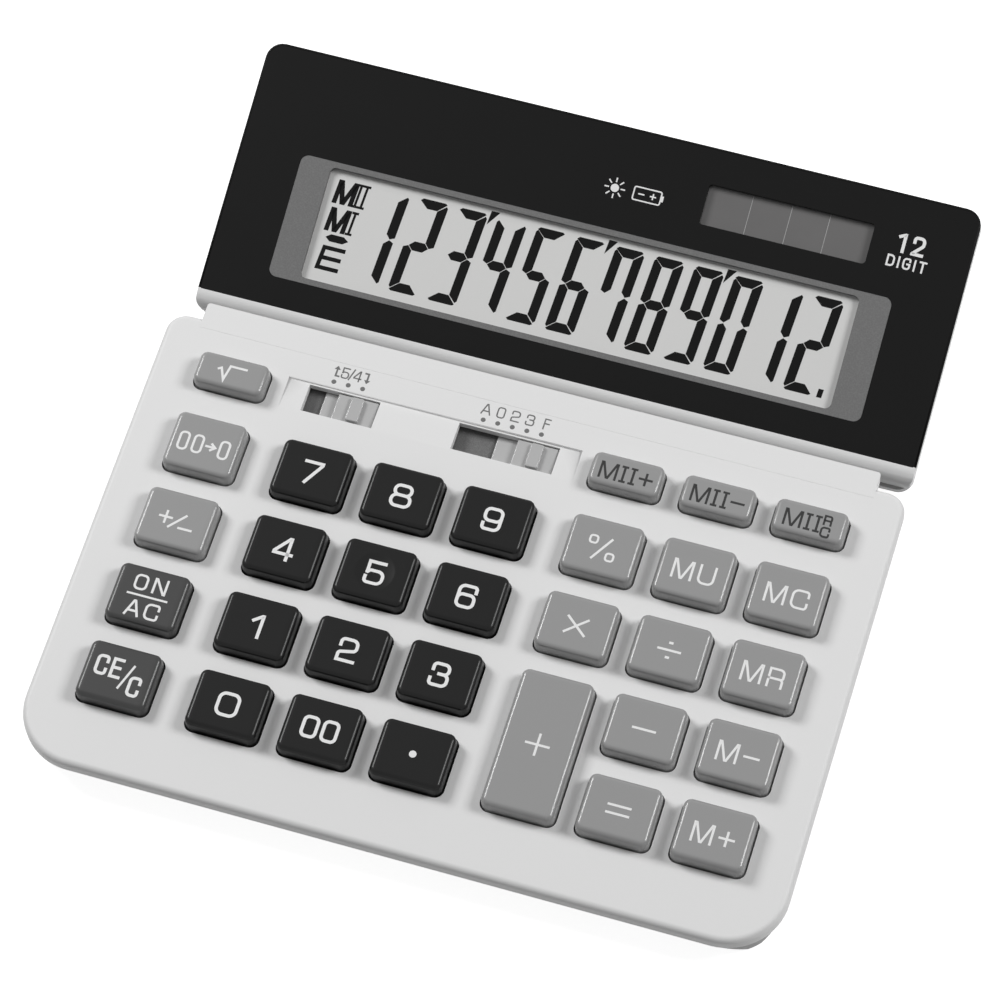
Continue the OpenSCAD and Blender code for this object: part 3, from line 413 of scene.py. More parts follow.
# A smoothed copy of a node: doubled points are merged and triangles in one plane become one face, each
# outer edge sharper than the angle may be rounded, the points may be moved, and every normal is the
# mean of its faces weighted by their area
smoothing = {"mergeWithin": 2e-7, "levelAngle": 0.1, "sharpAngle": 32, "segments": 3, "weight": 100}


def finishedCopy(name, slotName, edgeRound, reshape=None):
    body = nodes[name]["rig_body"]
    mesh = nodes[name].data.copy()
    sharpAngle = math.radians(smoothing["sharpAngle"])
    work = bmesh.new()
    work.from_mesh(mesh)
    bmesh.ops.remove_doubles(work, verts=work.verts, dist=smoothing["mergeWithin"])
    bmesh.ops.dissolve_limit(work, angle_limit=math.radians(smoothing["levelAngle"]), verts=work.verts,
                             edges=work.edges)
    if edgeRound:
        sharp = [e for e in work.edges if len(e.link_faces) == 2 and e.calc_face_angle_signed(0) > sharpAngle]
        bmesh.ops.bevel(work, geom=sharp, offset=edgeRound * mm, segments=smoothing["segments"], profile=0.5,
                        affect="EDGES", clamp_overlap=True)
    work.to_mesh(mesh)
    work.free()
    if reshape:
        places = np.empty(3 * len(mesh.vertices))
        mesh.vertices.foreach_get("co", places)
        mesh.vertices.foreach_set("co", reshape(places.reshape(-1, 3)).ravel())
    mesh.polygons.foreach_set("use_smooth", [True] * len(mesh.polygons))
    mesh.set_sharp_from_angle(angle=sharpAngle)
    mesh.update()
    mesh.materials.clear()
    mesh.materials.append(slotMaterials[slotName])
    piece = addPiece(name + "_finished", mesh, body)
    weighted = piece.modifiers.new("weighted", "WEIGHTED_NORMAL")
    weighted.keep_sharp = True
    weighted.weight = smoothing["weight"]
    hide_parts(name)


# Deck and neck run into each other: the neck's step is sunk to a hair's breadth above the deck, and a
# strip a few hundredths above both blends them
neckBlend = {"sunkTo": 0.02, "half": 68.85, "front": 95.6, "rear": 99.6, "level": 0.035, "thickness": 0.1}


# Deck millimetres: every point higher than the sunk level comes down to it
def sinkNeck(points):
    local = turnAboutX(points / mm + [0, middleY, -deckPlane["frontHeight"]], -deckPlane["slope"])
    sunk = onDeck(local * [1, 1, 0] + [0, 0, neckBlend["sunkTo"]])
    return np.where((local[:, 2] > neckBlend["sunkTo"])[:, None], sunk, points)


# Slot and edge rounding in millimetres of each smoothed copy
smoothed = {"upper_case": ("case_white", 0.0), "display_front_shell": ("case_white", 0.0),
            "display_rear_shell": ("case_grey", 0.0), "lower_case": ("case_grey", 0.0),
            "rounding_slider": ("switch_grey", 0.25), "decimals_slider": ("switch_grey", 0.25),
            "rubber_feet": ("rubber", 0.0), "battery_door": ("case_grey", 0.0)}
for name, (slotName, edgeRound) in smoothed.items():
    finishedCopy(name, slotName, edgeRound, sinkNeck if name == "upper_case" else None)

# The painted edge of the panel: a thin band over the rim's left, rear and right, 0.04 mm proud of it
edgeBand = {"half": 74.07, "bottom": 0.3, "top": 52.52, "radius": 3.2, "width": 0.44, "level": 0.03,
            "thickness": 0.9}
half, bottom, top = edgeBand["half"], edgeBand["bottom"], edgeBand["top"]
rim = roundedLine([(-half, bottom), (-half, top), (half, top), (half, bottom)], edgeBand["radius"])
points, faces = penStroke(rim, edgeBand["width"], edgeBand)
putPiece("panel_edge_band", onDisplay(points), faces, "display", fasciaBlack)

half, front, rear = neckBlend["half"], neckBlend["front"], neckBlend["rear"]
points, faces = plate([(-half, front), (half, front), (half, rear), (-half, rear)], neckBlend)
putPiece("neck_blend", onDeck(points), faces, "base", whiteAbs, False)
print("shells done")

# Keys: a profile of inset and height is carried round a rounded rectangle
keyShape = {"width": 14.4, "depth": 12.16, "shortDepth": 7.2, "height": 3.15, "skirtHeight": 0.6,
            "radius": 1.6, "leastRadius": 0.25, "topInset": 1.7, "edgeRadius": 1.0, "draft": 4.5,
            "wall": 1.0, "flange": 0.9, "flangeTop": -2.15, "bottom": -2.95, "edgeSteps": 11,
            "cornerSteps": 10, "sharpAngle": 40}

# The finger dish: circles of points at these shares of its radius, met by more points on the sides
keyDish = {"key": "key_5", "radius": 3.9, "depth": 0.3, "sideSteps": 16,
           "circles": (1.05, 1.0, 0.95, 0.88, 0.75, 0.6, 0.4, 0.2, 0.04)}

# Pitches from key middle to key middle, and the gap before the short row
keyGrid = {"columnPitch": 18.35, "groupPitch": 22.0, "rowPitch": 16.93, "frontMargin": 13.05,
           "shortRowGap": 6.6}
wing = 2 * keyGrid["columnPitch"]
columnX = [-wing - keyGrid["groupPitch"], -wing, -wing / 2, 0,
           keyGrid["groupPitch"], keyGrid["groupPitch"] + wing / 2, keyGrid["groupPitch"] + wing]
rowY = [keyGrid["frontMargin"] + keyShape["depth"] / 2 + i * keyGrid["rowPitch"] for i in range(4)]
shortRowY = rowY[3] + keyShape["depth"] / 2 + keyGrid["shortRowGap"] + keyShape["shortDepth"] / 2

# Column, row from the front (4 is the short row, 0.5 spans two) and plastic of each key
keyTable = {
    "key_square_root": (0, 4, "grey"), "key_second_memory_plus": (4, 4, "grey"),
    "key_second_memory_minus": (5, 4, "grey"), "key_second_memory_recall": (6, 4, "grey"),
    "key_shift_back": (0, 3, "grey"), "key_7": (1, 3, "black"), "key_8": (2, 3, "black"),
    "key_9": (3, 3, "black"), "key_percent": (4, 3, "grey"), "key_markup": (5, 3, "grey"),
    "key_memory_clear": (6, 3, "grey"), "key_sign": (0, 2, "grey"), "key_4": (1, 2, "black"),
    "key_5": (2, 2, "black"), "key_6": (3, 2, "black"), "key_multiply": (4, 2, "grey"),
    "key_divide": (5, 2, "grey"), "key_memory_recall": (6, 2, "grey"),
    "key_on_all_clear": (0, 1, "charcoal"), "key_1": (1, 1, "black"), "key_2": (2, 1, "black"),
    "key_3": (3, 1, "black"), "key_plus": (4, 0.5, "grey"), "key_minus": (5, 1, "grey"),
    "key_memory_minus": (6, 1, "grey"), "key_clear_entry": (0, 0, "charcoal"),
    "key_0": (1, 0, "black"), "key_00": (2, 0, "black"), "key_point": (3, 0, "black"),
    "key_equals": (5, 0, "grey"), "key_memory_plus": (6, 0, "grey"),
}


# A key's middle on the deck and its depth
def keyPlace(name):
    column, row, _ = keyTable[name]
    if row == 4:
        return columnX[column], shortRowY, keyShape["shortDepth"]
    depth = keyShape["depth"] + (keyGrid["rowPitch"] if name == "key_plus" else 0)
    return columnX[column], rowY[0] + row * keyGrid["rowPitch"], depth


# From the hollow's ceiling down its wall, round the flange, up the skirt and the drafted side, into
# the rounded edge: side = straight line, edge = arc of inset and height
def keySection():
    s = keyShape
    draft = math.radians(s["draft"])
    arcZ = s["height"] - s["edgeRadius"]
    sideInset = (arcZ + s["edgeRadius"] * math.sin(draft) - s["skirtHeight"]) * math.tan(draft)
    arcInset = sideInset + s["edgeRadius"] * math.cos(draft)
    edge = np.linspace(draft, math.pi / 2, s["edgeSteps"])
    section = [[s["wall"], s["height"] - s["wall"]], [s["wall"], s["bottom"]],
               [-s["flange"], s["bottom"]], [-s["flange"], s["flangeTop"]], [0, s["flangeTop"]],
               [0, s["skirtHeight"]]]
    section += np.column_stack([arcInset - s["edgeRadius"] * np.cos(edge),
                                arcZ + s["edgeRadius"] * np.sin(edge)]).tolist()
    section += [[s["topInset"], s["height"]]]
    return np.array(section)


# Level of the cap's top: flat, or sunk by depth * (1 - (distance / radius) squared) in the dish
def topLevel(name, x, y):
    share = np.hypot(x, y) / keyDish["radius"]
    depth = keyDish["depth"] if name == keyDish["key"] else 0.0
    return keyShape["height"] - depth * np.clip(1 - share ** 2, 0, None)


# Rings of the section with corner radius = radius - inset, and circles in the dish: radius * share
def makeKey(name):
    x, y, depth = keyPlace(name)
    dished = name == keyDish["key"]
    inset, height = keySection().T
    radius = np.maximum(keyShape["radius"] - np.clip(inset, 0, None), keyShape["leastRadius"])
    rings = roundedRings(keyShape["width"] / 2 - inset, depth / 2 - inset, radius, keyShape["cornerSteps"],
                         keyDish["sideSteps"] if dished else 0)
    points = np.concatenate([rings, np.broadcast_to(height[:, None, None], rings.shape[:2] + (1,))], -1)
    if dished:
        angle = np.arctan2(rings[-1, :, 1], rings[-1, :, 0])
        share = np.array(keyDish["circles"])[:, None, None]
        circle = np.stack([np.cos(angle), np.sin(angle)], -1)[None] * share * keyDish["radius"]
        level = topLevel(name, circle[..., 0], circle[..., 1])
        points = np.concatenate([points, np.concatenate([circle, level[..., None]], -1)])
    rows, columns = points.shape[:2]
    faces = gridFaces(rows, columns, False, True).tolist()
    faces += [list(range(columns))[::-1], list(range((rows - 1) * columns, rows * columns))]
    plastic = keyTable[name][2]
    piece = putPiece(name + "_cap", onDeck(points.reshape(-1, 3) + [x, y, 0]), faces, name,
                     keyMaterials[plastic])
    piece.data.set_sharp_from_angle(angle=math.radians(keyShape["sharpAngle"]))
    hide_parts(name)


for name in keyTable:
    makeKey(name)
print("keys done")

# Pen strokes of each sign: width, then lines of corners with their radii and whether they close, in
# heights of the sign
penSigns = {
    "0": (0.88, [([(0, 0), (0.88, 0), (0.88, 1), (0, 1)], 0.28, True)]),
    "n": (0.48, [([(0, 0), (0.48, 0), (0.48, 1), (0, 1)], 0.2, True)]),
    "z": (0.68, [([(0, 0), (0.68, 0), (0.68, 1), (0, 1)], 0.22, True)]),
    "1": (0.38, [([(0, 0.74), (0.34, 1), (0.38, 1), (0.38, 0)], 0, False)]),
    "2": (0.74, [([(0, 0.7), (0, 1), (0.73, 1), (0.73, 0.52), (0, 0.36), (0, 0), (0.74, 0)],
                  [0, 0.22, 0.24, 0.16, 0.12, 0, 0], False)]),
    "3": (0.75, [([(0.03, 0.7), (0.03, 1), (0.72, 1), (0.72, 0.53), (0.33, 0.53)], 0.22, False),
                 ([(0.33, 0.531), (0.75, 0.531), (0.75, 0), (0, 0), (0, 0.28)], 0.22, False)]),
    "4": (0.79, [([(0.61, 0), (0.61, 1), (0.55, 1), (0, 0.33), (0, 0.255), (0.79, 0.255)], 0, False)]),
    "5": (0.76, [([(0.72, 1), (0.03, 1), (0.03, 0.5)], 0, False),
                 ([(0.05, 0.5), (0.15, 0.6), (0.76, 0.6), (0.76, 0), (0, 0), (0, 0.27)],
                  [0, 0.12, 0.25, 0.25, 0.22, 0], False)]),
    "6": (0.74, [([(0.74, 0.74), (0.74, 1), (0, 1), (0, 0.28)], 0.24, False),
                 ([(0, 0), (0.74, 0), (0.74, 0.58), (0, 0.58)], 0.22, True)]),
    "7": (0.76, [([(0, 1), (0.76, 1), (0.76, 0.93), (0.2, 0)], 0, False)]),
    "8": (0.84, [([(0.05, 0.53), (0.79, 0.53), (0.79, 1), (0.05, 1)], 0.22, True),
                 ([(0, 0), (0.84, 0), (0.84, 0.531), (0, 0.531)], 0.24, True)]),
    "9": (0.74, [([(0, 0.42), (0.74, 0.42), (0.74, 1), (0, 1)], 0.22, True),
                 ([(0, 0.26), (0, 0), (0.74, 0), (0.74, 0.72)], 0.24, False)]),
    "A": (0.84, [([(0, 0), (0.38, 1), (0.46, 1), (0.84, 0)], 0, False),
                 ([(0.16, 0.3), (0.68, 0.3)], 0, False)]),
    "C": (0.82, [([(0.82, 0.7), (0.82, 1), (0, 1), (0, 0), (0.82, 0), (0.82, 0.3)], 0.3, False)]),
    "c": (0.53, [([(0.53, 0.72), (0.53, 1), (0, 1), (0, 0), (0.53, 0), (0.53, 0.28)], 0.2, False)]),
    "D": (0.62, [([(0, 0), (0.62, 0), (0.62, 1), (0, 1)], [0, 0.3, 0.3, 0], True)]),
    "E": (0.47, [([(0.47, 1), (0, 1), (0, 0), (0.47, 0)], 0, False), ([(0.1, 0.52), (0.4, 0.52)], 0, False)]),
    "F": (0.5, [([(0.5, 1), (0, 1), (0, 0)], 0, False), ([(0.1, 0.54), (0.44, 0.54)], 0, False)]),
    "G": (0.62, [([(0.62, 0.76), (0.62, 1), (0, 1), (0, 0), (0.62, 0), (0.62, 0.47), (0.38, 0.47)],
                  [0, 0.28, 0.28, 0.28, 0.28, 0, 0], False)]),
    "I": (0, [([(0, 0), (0, 1)], 0, False)]),
    "M": (0.99, [([(0, 0), (0, 1), (0.08, 1), (0.455, 0), (0.535, 0), (0.91, 1), (0.99, 1), (0.99, 0)],
                  0, False)]),
    "N": (0.82, [([(0, 0), (0, 1), (0.08, 1), (0.74, 0), (0.82, 0), (0.82, 1)], 0, False)]),
    "O": (0.78, [([(0, 0), (0.78, 0), (0.78, 1), (0, 1)], 0.28, True)]),
    "R": (0.74, [([(0, 0), (0, 1), (0.74, 1), (0.74, 0.46), (0, 0.46)], [0, 0, 0.22, 0.12, 0], False),
                 ([(0.4, 0.461), (0.74, 0.461), (0.74, 0)], [0, 0.16, 0], False)]),
    "T": (0.59, [([(0, 1), (0.59, 1)], 0, False), ([(0.295, 0.9), (0.295, 0)], 0, False)]),
    "U": (0.79, [([(0, 1), (0, 0), (0.79, 0), (0.79, 1)], 0.28, False)]),
    "+": (0.73, [([(0, 0.5), (0.73, 0.5)], 0, False), ([(0.365, 0.14), (0.365, 0.86)], 0, False)]),
    "-": (0.73, [([(0, 0.5), (0.73, 0.5)], 0, False)]),
    "/": (0.4, [([(0, -0.05), (0.4, 1.05)], 0, False)]),
    "i": (0.26, [([(0, 0), (0.26, 0)], 0, False), ([(0, 1), (0.26, 1)], 0, False),
                 ([(0.13, 0.1), (0.13, 0.9)], 0, False)]),
    ">": (0.49, [([(0, 0.5), (0.36, 0.5)], 0, False), ([(0.27, 0.68), (0.49, 0.5), (0.27, 0.32)], 0, False)]),
    "t": (0.3, [([(0, 0.86), (0.28, 1), (0.3, 1), (0.3, 0)], 0, False)]),
    "w": (0.58, [([(0, 0.72), (0, 1), (0.56, 1), (0.56, 0.58), (0, 0.02), (0, 0), (0.58, 0)],
                  [0, 0.27, 0.27, 0.2, 0, 0, 0], False)]),
}


# Printed ink: its top above the face and its thickness in millimetres. Each stroke is lifted a little
# more than the one before, so that no two tops coincide
inkFilm = {"level": 0.012, "thickness": 0.03}
strokeLift = {"step": 0.002, "levels": 4}


# Lift of the stroke with the given number: step * (number modulo levels)
def liftOf(number):
    return strokeLift["step"] * (number % strokeLift["levels"])


# Signs side by side round a middle: outer width of each = width * height * wide + stroke, then a gap
def penText(text, height, stroke, x, y, gap=0.0, film=inkFilm, step=0.0, wide=1.0):
    tall = height - stroke
    widths = [penSigns[sign][0] * tall * wide + stroke for sign in text]
    left = x - (sum(widths) + gap * (len(text) - 1)) / 2
    parts = []
    for sign, width in zip(text, widths):
        for corners, radius, closed in penSigns[sign][1]:
            line = np.array(corners, float) * [tall * wide, tall] + [left + stroke / 2, y - tall / 2]
            line = roundedLine(line, np.array(radius) * tall, closed)
            line = divided(line, closed, step) if step else line
            parts.append(penStroke(line, stroke, film, closed, liftOf(len(parts))))
        left += width + gap
    return parts


# Lines of corner points, moved by x and y; the first one's lift counts from the given number
def penLines(lines, stroke, x=0.0, y=0.0, film=inkFilm, first=0):
    return [penStroke(np.array(line, float) + [x, y], stroke, film, lift=liftOf(first + i))
            for i, line in enumerate(lines)]


# A closed rounded loop of the pen round a middle
def loop(x, y, width, height, radius, stroke, number=0):
    wide, tall = width / 2, height / 2
    corners = [(x - wide, y - tall), (x + wide, y - tall), (x + wide, y + tall), (x - wide, y + tall)]
    return penStroke(roundedLine(corners, radius, True), stroke, inkFilm, True, liftOf(number))


# Legends in millimetres, x to the right and y to the rear of their place on the key
legend = {"place": (0.0, -0.38), "height": 4.15, "smallHeight": 3.65, "smallGap": 0.55, "pen": 0.47,
          "boldHeight": 4.25, "boldPen": 0.62, "digitHeight": 5.1, "doubleHeight": 4.65, "digitPen": 0.66,
          "digitPlace": (0.1, 0.13), "digitStep": 0.4, "dot": (0.1, 0.18, 0.72),
          "ring": (1.5, 1.55, 0.5, 0.42)}
height, small, bold = legend["height"], legend["smallHeight"], legend["boldHeight"]
pen, smallGap, boldPen = legend["pen"], legend["smallGap"], legend["boldPen"]

# Written legends: text, height, stroke, x, y and gap
written = {
    "key_00": [("zz", legend["doubleHeight"], legend["digitPen"], *legend["digitPlace"], 0.6)],
    "key_second_memory_plus": [("Mii+", small, pen, 0.1, 0, smallGap)],
    "key_second_memory_minus": [("Mii-", small, pen, 0.1, 0, smallGap)],
    "key_second_memory_recall": [("Mii", small, pen, -1.45, 0, smallGap), ("R", 2.2, 0.4, 3.35, 1.2),
                                 ("C", 2.3, 0.4, 3.35, -1.35)],
    "key_shift_back": [("nn", height, pen, -2.7, 0, 0.7), (">", height, pen, 1.45, 0),
                       ("n", height, pen, 4.15, 0)],
    "key_on_all_clear": [("ON", 3.36, pen, -0.1, 2.8, 1.05), ("AC", 3.5, pen, 0, -2.7, 0.8)],
    "key_clear_entry": [("c", bold, boldPen, -3.65, 1.4), ("E", bold, boldPen, -0.65, 1.4),
                        ("c", bold, boldPen, 3.7, -1.4)],
}
for digit in "0123456789":
    written["key_" + digit] = [(digit, legend["digitHeight"], legend["digitPen"], *legend["digitPlace"])]
for name, text in {"markup": "MU", "memory_clear": "MC", "memory_recall": "MR", "memory_minus": "M-",
                   "memory_plus": "M+"}.items():
    written["key_" + name] = [(text, height, pen, 0, 0, 1.0)]

# Rings and drawn legends: middles of the rings, then stroke and lines
ringMiddles = {"key_percent": [(-1.95, 1.55), (1.95, -1.5)]}
drawn = {
    "key_on_all_clear": [(0.42, [[(-3.9, 0.12), (3.9, 0.12)]])],
    "key_clear_entry": [(0.45, [[(0.8, -2.35), (2.55, 2.6)]])],
    "key_sign": [(pen, [[(-3.25, 0.4), (-0.9, 0.4)], [(-2.08, -0.78), (-2.08, 1.58)],
                        [(-1.0, -1.5), (1.75, 1.5)], [(1.05, -1.3), (3.5, -1.3)]])],
    "key_square_root": [(pen, [[(-2.6, 0.55), (-2.1, 0.85), (-1.05, -1.55), (-0.45, 1.6), (2.8, 1.6)]])],
    "key_percent": [(pen, [[(-1.4, -2.4), (1.5, 2.2)]])],
    "key_multiply": [(pen, [[(-1.95, -1.65), (1.95, 1.65)], [(-1.95, 1.65), (1.95, -1.65)]])],
    "key_divide": [(pen, [[(-2.1, 0), (2.1, 0)]]),
                   (0.5, [[(-0.18, 1.54), (0.18, 1.54)], [(-0.18, -1.54), (0.18, -1.54)]])],
    "key_minus": [(pen, [[(-2.1, 0), (2.1, 0)]])],
    "key_equals": [(pen, [[(-2.1, 0.82), (2.1, 0.82)], [(-2.1, -0.82), (2.1, -0.82)]])],
    "key_plus": [(pen, [[(-2.2, 0), (2.2, 0)], [(0, -2.1), (0, 2.1)]])],
}


# All parts of a key's legend, flat and round the key's middle
def signParts(name):
    x, y = legend["place"]
    middles = ringMiddles.get(name, [])
    parts = []
    for text, tall, stroke, right, back, *gap in written.get(name, []):
        step = legend["digitStep"] if text.isdigit() else 0.0
        parts += penText(text, tall, stroke, x + right, y + back, *gap, step=step)
    for i, (right, back) in enumerate(middles):
        parts.append(loop(x + right, y + back, *legend["ring"], i))
    for stroke, lines in drawn.get(name, []):
        parts += penLines(lines, stroke, x, y, first=len(middles))
    if name == "key_point":
        right, back, radius = legend["dot"]
        parts.append(disc(x + right, y + back, radius, inkFilm))
    return joinParts(parts)


for name in keyTable:
    points, faces = signParts(name)
    x, y, _ = keyPlace(name)
    points[:, 2] += topLevel(name, points[:, 0], points[:, 1])
    dark = name.startswith("key_second")
    putPiece(name + "_legend", onDeck(points + [x, y, 0]), faces, name,
             darkInk if dark else whiteInk, False)
print("legends done")

# Printing on the deck behind the slots: dots at the detents, and a sign for each. An arrow is turned
# by its first number and stands at its second from the rounding slot's left detent
deckPrint = {"rounding": -39.37, "roundingStops": 3, "decimals": -8.64, "decimalSigns": "Az23F",
             "lastNudge": 0.4, "step": 2.97, "dotRadius": 0.49, "dotY": 91.2, "signY": 93.6,
             "signHeight": 2.45, "stroke": 0.28, "signWide": 0.95, "fraction": "5/4", "fractionGap": -0.03,
             "fractionWide": 0.8, "arrows": ((1, -0.12), (-1, 6.24)), "arrowStroke": 0.36,
             "arrowHead": [(-0.63, 0.4), (0.63, 0.4), (0, 1.22)],
             "arrowStem": [(0, 0.5), (0, -1.02), (0.63, -1.02)]}


# Places along a slot: its left detent + number * step
def deckSigns():
    p = deckPrint
    stops = [p["rounding"] + i * p["step"] for i in range(p["roundingStops"])]
    signStops = [p["decimals"] + i * p["step"] for i in range(len(p["decimalSigns"]))]
    parts = [disc(x, p["dotY"], p["dotRadius"], inkFilm) for x in stops + signStops]
    signStops[-1] += p["lastNudge"]
    for sign, x in zip(p["decimalSigns"], signStops):
        parts += penText(sign, p["signHeight"], p["stroke"], x, p["signY"], wide=p["signWide"])
    parts += penText(p["fraction"], p["signHeight"], p["stroke"], stops[1], p["signY"], p["fractionGap"],
                     wide=p["fractionWide"])
    for turn, right in p["arrows"]:
        place = [p["rounding"] + right, p["signY"]]
        parts.append(plate(np.array(p["arrowHead"]) * turn + place, inkFilm))
        parts.append(penStroke(np.array(p["arrowStem"]) * turn + place, p["arrowStroke"], inkFilm,
                               lift=liftOf(1)))
    return joinParts(parts)


points, faces = deckSigns()
putPiece("deck_printing", onDeck(points), faces, "base", greyInk, False)
print("deck printing done")

# Printing on the black panel: the number of digits, and a sun beside a cell for the two supplies.
# Words are text, height, stroke, x, y and gap; the cell's marks are lines from its middle
panelPrint = {"words": [("tw", 4.0, 0.64, 62.0, 42.95, 1.35), ("DIGIT", 2.4, 0.37, 62.0, 39.05, 0.62)],
              "stroke": 0.28, "sun": (1.9, 40.0), "sunRadius": 0.85, "rays": (1.35, 2.0), "rayCount": 8,
              "cell": (8.6, 40.0), "cellSize": (5.6, 2.7), "cellRadius": 0.35,
              "cellKnob": [(2.92, -0.6), (3.35, -0.6), (3.35, 0.6), (2.92, 0.6)],
              "cellMarks": [[(-1.7, 0), (-0.7, 0)], [(0.7, 0), (1.7, 0)], [(1.2, -0.5), (1.2, 0.5)]]}


# Rays: sun's middle + (cos, sin) * inner and outer reach
def panelSigns():
    p = panelPrint
    parts = [part for word in p["words"] for part in penText(*word)]
    parts.append(disc(*p["sun"], p["sunRadius"], inkFilm))
    angle = np.arange(p["rayCount"]) * 2 * math.pi / p["rayCount"]
    rays = np.stack([np.cos(angle), np.sin(angle)], -1)[:, None] * np.array(p["rays"])[None, :, None]
    parts += penLines(rays, p["stroke"], *p["sun"])
    parts.append(loop(*p["cell"], *p["cellSize"], p["cellRadius"], p["stroke"]))
    parts.append(plate(np.array(p["cellKnob"]) + p["cell"], inkFilm))
    parts += penLines(p["cellMarks"], p["stroke"], *p["cell"])
    return joinParts(parts)


points, faces = panelSigns()
putPiece("panel_printing", onDisplay(points), faces, "display", whiteInk, False)

# Liquid-crystal figures: seven bars each, leaning to the right, shown as a number with its marks.
# At the left stand the two memory marks (text, height, stroke, x, y, gap and width), minus and error
figures = {"right": 44.6, "bottom": 9.1, "pitch": 8.18, "width": 6.07, "height": 19.8, "lean": 1.5,
           "bar": 1.92, "gap": 0.08, "shown": "123456789012", "commasAfter": (2, 5, 8),
           "comma": [(8.0, 29.75), (9.8, 29.75), (7.7, 26.75)],
           "point": [(6.95, 0), (8.0, 0), (8.0, 1.75), (6.95, 1.75)],
           "memories": [("M", 5.0, 0.98, -50.75, 26.1, 0.0, 0.85), ("ii", 5.0, 0.5, -47.5, 26.1, -0.1, 0.75),
                        ("M", 5.0, 0.98, -50.75, 20.3, 0.0, 0.85), ("i", 5.0, 0.5, -47.8, 20.3, -0.1, 0.75)],
           "minus": [(-52.3, 16.5), (-51.3, 17.25), (-48.6, 17.25), (-47.5, 16.5), (-48.6, 15.75),
                     (-51.3, 15.75)],
           "error": [[(-47.9, 14.4), (-51.9, 14.4), (-52.3, 10.2), (-48.3, 10.2)],
                     [(-51.6, 12.3), (-48.3, 12.3)]], "errorStroke": 0.85}
figureFilm = {"level": -1.188, "thickness": 0.01}
figureBars = {"0": "abcdef", "1": "bc", "2": "abged", "3": "abgcd", "4": "fgbc", "5": "afgcd", "6": "afgedc",
              "7": "abcf", "8": "abcdefg", "9": "abcdfg"}


# A figure's points at their place: x moves by lean * y / height
def lean(points, x):
    points = np.array(points, float)
    shift = x + figures["lean"] * points[:, 1] / figures["height"]
    return points + np.stack([shift, np.full(len(points), figures["bottom"])], -1)


# The bars of one figure: three level ones, and one upright whose outline the other three mirror; a gap
# parts them, and the free corners are cut by a few tenths
def figureParts(sign, x):
    w, h, t, g = figures["width"], figures["height"], figures["bar"], figures["gap"]
    middle, half = h / 2, t / 2
    bars = {"a": [(0.1 + g, h - 0.45), (0.65, h), (w - 0.75, h), (w - 0.25 - g, h - 0.3),
                  (w - t - g, h - t), (t + g, h - t)],
            "d": [(0.15 + g, 0.35), (t + g, t), (w - t - g, t), (w - 0.25 - g, 0.3), (w - 0.75, 0),
                  (0.65, 0)],
            "g": [(half + g, middle), (t + g, middle + half), (w - t - g, middle + half),
                  (w - half - g, middle), (w - t - g, middle - half), (t + g, middle - half)],
            "f": [(0, h - 1.0), (0.35, h - 0.55 - g), (t, h - t - g), (t, middle + half + g),
                  (half, middle + g), (0, middle + 0.45 + g)]}
    bars["e"] = [(x0, h - y0) for x0, y0 in bars["f"]]
    bars["b"] = [(w - x0, y0) for x0, y0 in bars["f"]]
    bars["c"] = [(w - x0, h - y0) for x0, y0 in bars["f"]]
    return [plate(lean(bars[bar], x), figureFilm) for bar in figureBars[sign]]


# Everything the display shows: place of a figure = right - number from the right * pitch
def figureSigns():
    f = figures
    parts = []
    for i, sign in enumerate(f["shown"]):
        x = f["right"] - (len(f["shown"]) - 1 - i) * f["pitch"]
        parts += figureParts(sign, x)
        if i in f["commasAfter"]:
            parts.append(plate(np.array(f["comma"]) + [x, 0], figureFilm))
    parts.append(plate(lean(f["point"], f["right"]), figureFilm))
    for *word, wide in f["memories"]:
        for points, faces in penText(*word, figureFilm, wide=wide):
            points[:, 0] += (points[:, 1] - word[4]) * f["lean"] / f["height"]
            parts.append((points, faces))
    parts.append(plate(f["minus"], figureFilm))
    parts += penLines(f["error"], f["errorStroke"], film=figureFilm)
    return joinParts(parts)


points, faces = figureSigns()
putPiece("display_figures", onDisplay(points), faces, "display", figureInk, False)

# The three bright lines between the four cells of the solar panel
solarLines = {"level": -1.185, "thickness": 0.01, "x": (29.1, 37.15, 44.95), "bottom": 37.2, "top": 45.2,
              "width": 0.12}
points, faces = joinParts([penStroke([(x, solarLines["bottom"]), (x, solarLines["top"])],
                                     solarLines["width"], solarLines) for x in solarLines["x"]])
putPiece("solar_lines", onDisplay(points), faces, "display", contactInk, False)
print("display printing done")

# Camera: place in metres, turn in degrees, focal length and sensor width in millimetres
cameraView = {"place": (0.1424, -0.4284, 0.7410), "turn": (31.712, 0.807, 17.315), "lens": 158.43,
              "sensor": 36, "clip": (0.01, 20)}
camera = bpy.data.cameras.new("camera")
camera.lens = cameraView["lens"]
camera.sensor_width = cameraView["sensor"]
camera.clip_start, camera.clip_end = cameraView["clip"]
cameraObject = bpy.data.objects.new("camera", camera)
cameraObject.location = cameraView["place"]
cameraObject.rotation_euler = [math.radians(a) for a in cameraView["turn"]]
bpy.context.scene.collection.objects.link(cameraObject)
bpy.context.scene.camera = cameraObject

# Studio: even light from all round, and a softbox on each side that stands a little to the rear:
# name, place in metres, size and power
studio = {"ambient": 0.18, "floorColour": "#B8B8B8", "floorGlow": 0.9, "floorHalf": 6, "floorDrop": 0.0002,
          "aim": (0, 0, 0.01), "softboxes": [("leftSoftbox", (-0.72, 0.2, 0.74), 0.36, 6.4),
                                             ("rightSoftbox", (0.72, 0.2, 0.74), 0.36, 5.8)]}


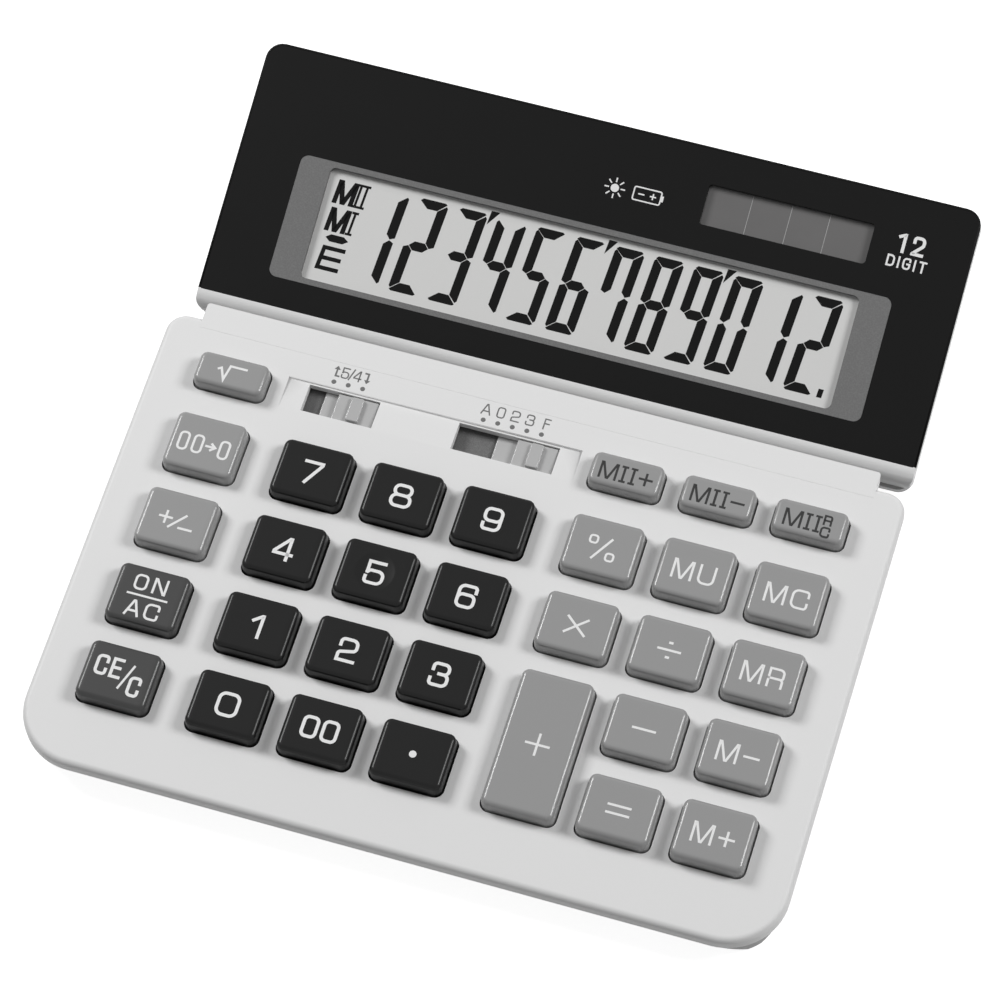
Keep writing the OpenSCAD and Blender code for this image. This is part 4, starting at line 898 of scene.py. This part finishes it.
# 1 for rays from the camera and for mirror and glass rays, so that gloss shows the same white ground
def seenDirectly(tree):
    path = addNode(tree, "LightPath").outputs
    mirrored = addNode(tree, "Math", {"operation": "MAXIMUM"},
                       {0: path["Is Glossy Ray"], 1: path["Is Transmission Ray"]})
    return addNode(tree, "Math", {"operation": "MAXIMUM"},
                   {0: path["Is Camera Ray"], 1: mirrored.outputs[0]}).outputs[0]


world = bpy.data.worlds.new("studio")
bpy.context.scene.world = world
world.use_nodes = True
tree = world.node_tree
tree.nodes.clear()
level = addNode(tree, "MapRange", inputs={"Value": seenDirectly(tree), "To Min": studio["ambient"],
                                          "To Max": 1.0})
sky = addNode(tree, "Background", inputs={"Color": (1, 1, 1, 1), "Strength": level.outputs["Result"]})
addNode(tree, "OutputWorld", inputs={"Surface": sky.outputs[0]})

# Each lamp looks at the aim: tilt = atan2(level distance, drop), heading = atan2(y, x) less a quarter turn
for name, place, size, power in studio["softboxes"]:
    lamp = bpy.data.lights.new(name, "AREA")
    lamp.shape, lamp.size, lamp.energy = "SQUARE", size, power
    lampObject = bpy.data.objects.new(name, lamp)
    lampObject.location = place
    aim = np.array(studio["aim"]) - place
    lampObject.rotation_euler = (math.atan2(np.hypot(aim[0], aim[1]), -aim[2]), 0,
                                 math.atan2(aim[1], aim[0]) - math.pi / 2)
    bpy.context.scene.collection.objects.link(lampObject)

# The floor lights up where the camera or a mirror sees it, and takes shadows like a pale grey one
floorMaterial, tree, shader, place = startMaterial("paleFloor", {
    "Roughness": 0.9, "Specular IOR Level": 0.1, "Base Color": linear(studio["floorColour"]),
    "Emission Color": (1, 1, 1, 1)})
glow = addNode(tree, "Math", {"operation": "MULTIPLY"}, {0: seenDirectly(tree), 1: studio["floorGlow"]})
tree.links.new(glow.outputs[0], shader.inputs["Emission Strength"])
floorMesh = bpy.data.meshes.new("floor")
half = studio["floorHalf"]
corners = [(-half, -half, 0), (half, -half, 0), (half, half, 0), (-half, half, 0)]
floorMesh.from_pydata(corners, [], [(0, 1, 2, 3)])
floorMesh.materials.append(floorMaterial)
floor = bpy.data.objects.new("floor", floorMesh)
floor.location = (0, 0, -studio["floorDrop"])
bpy.context.scene.collection.objects.link(floor)
bpy.context.scene.view_settings.view_transform = "Standard"
print("studio done")
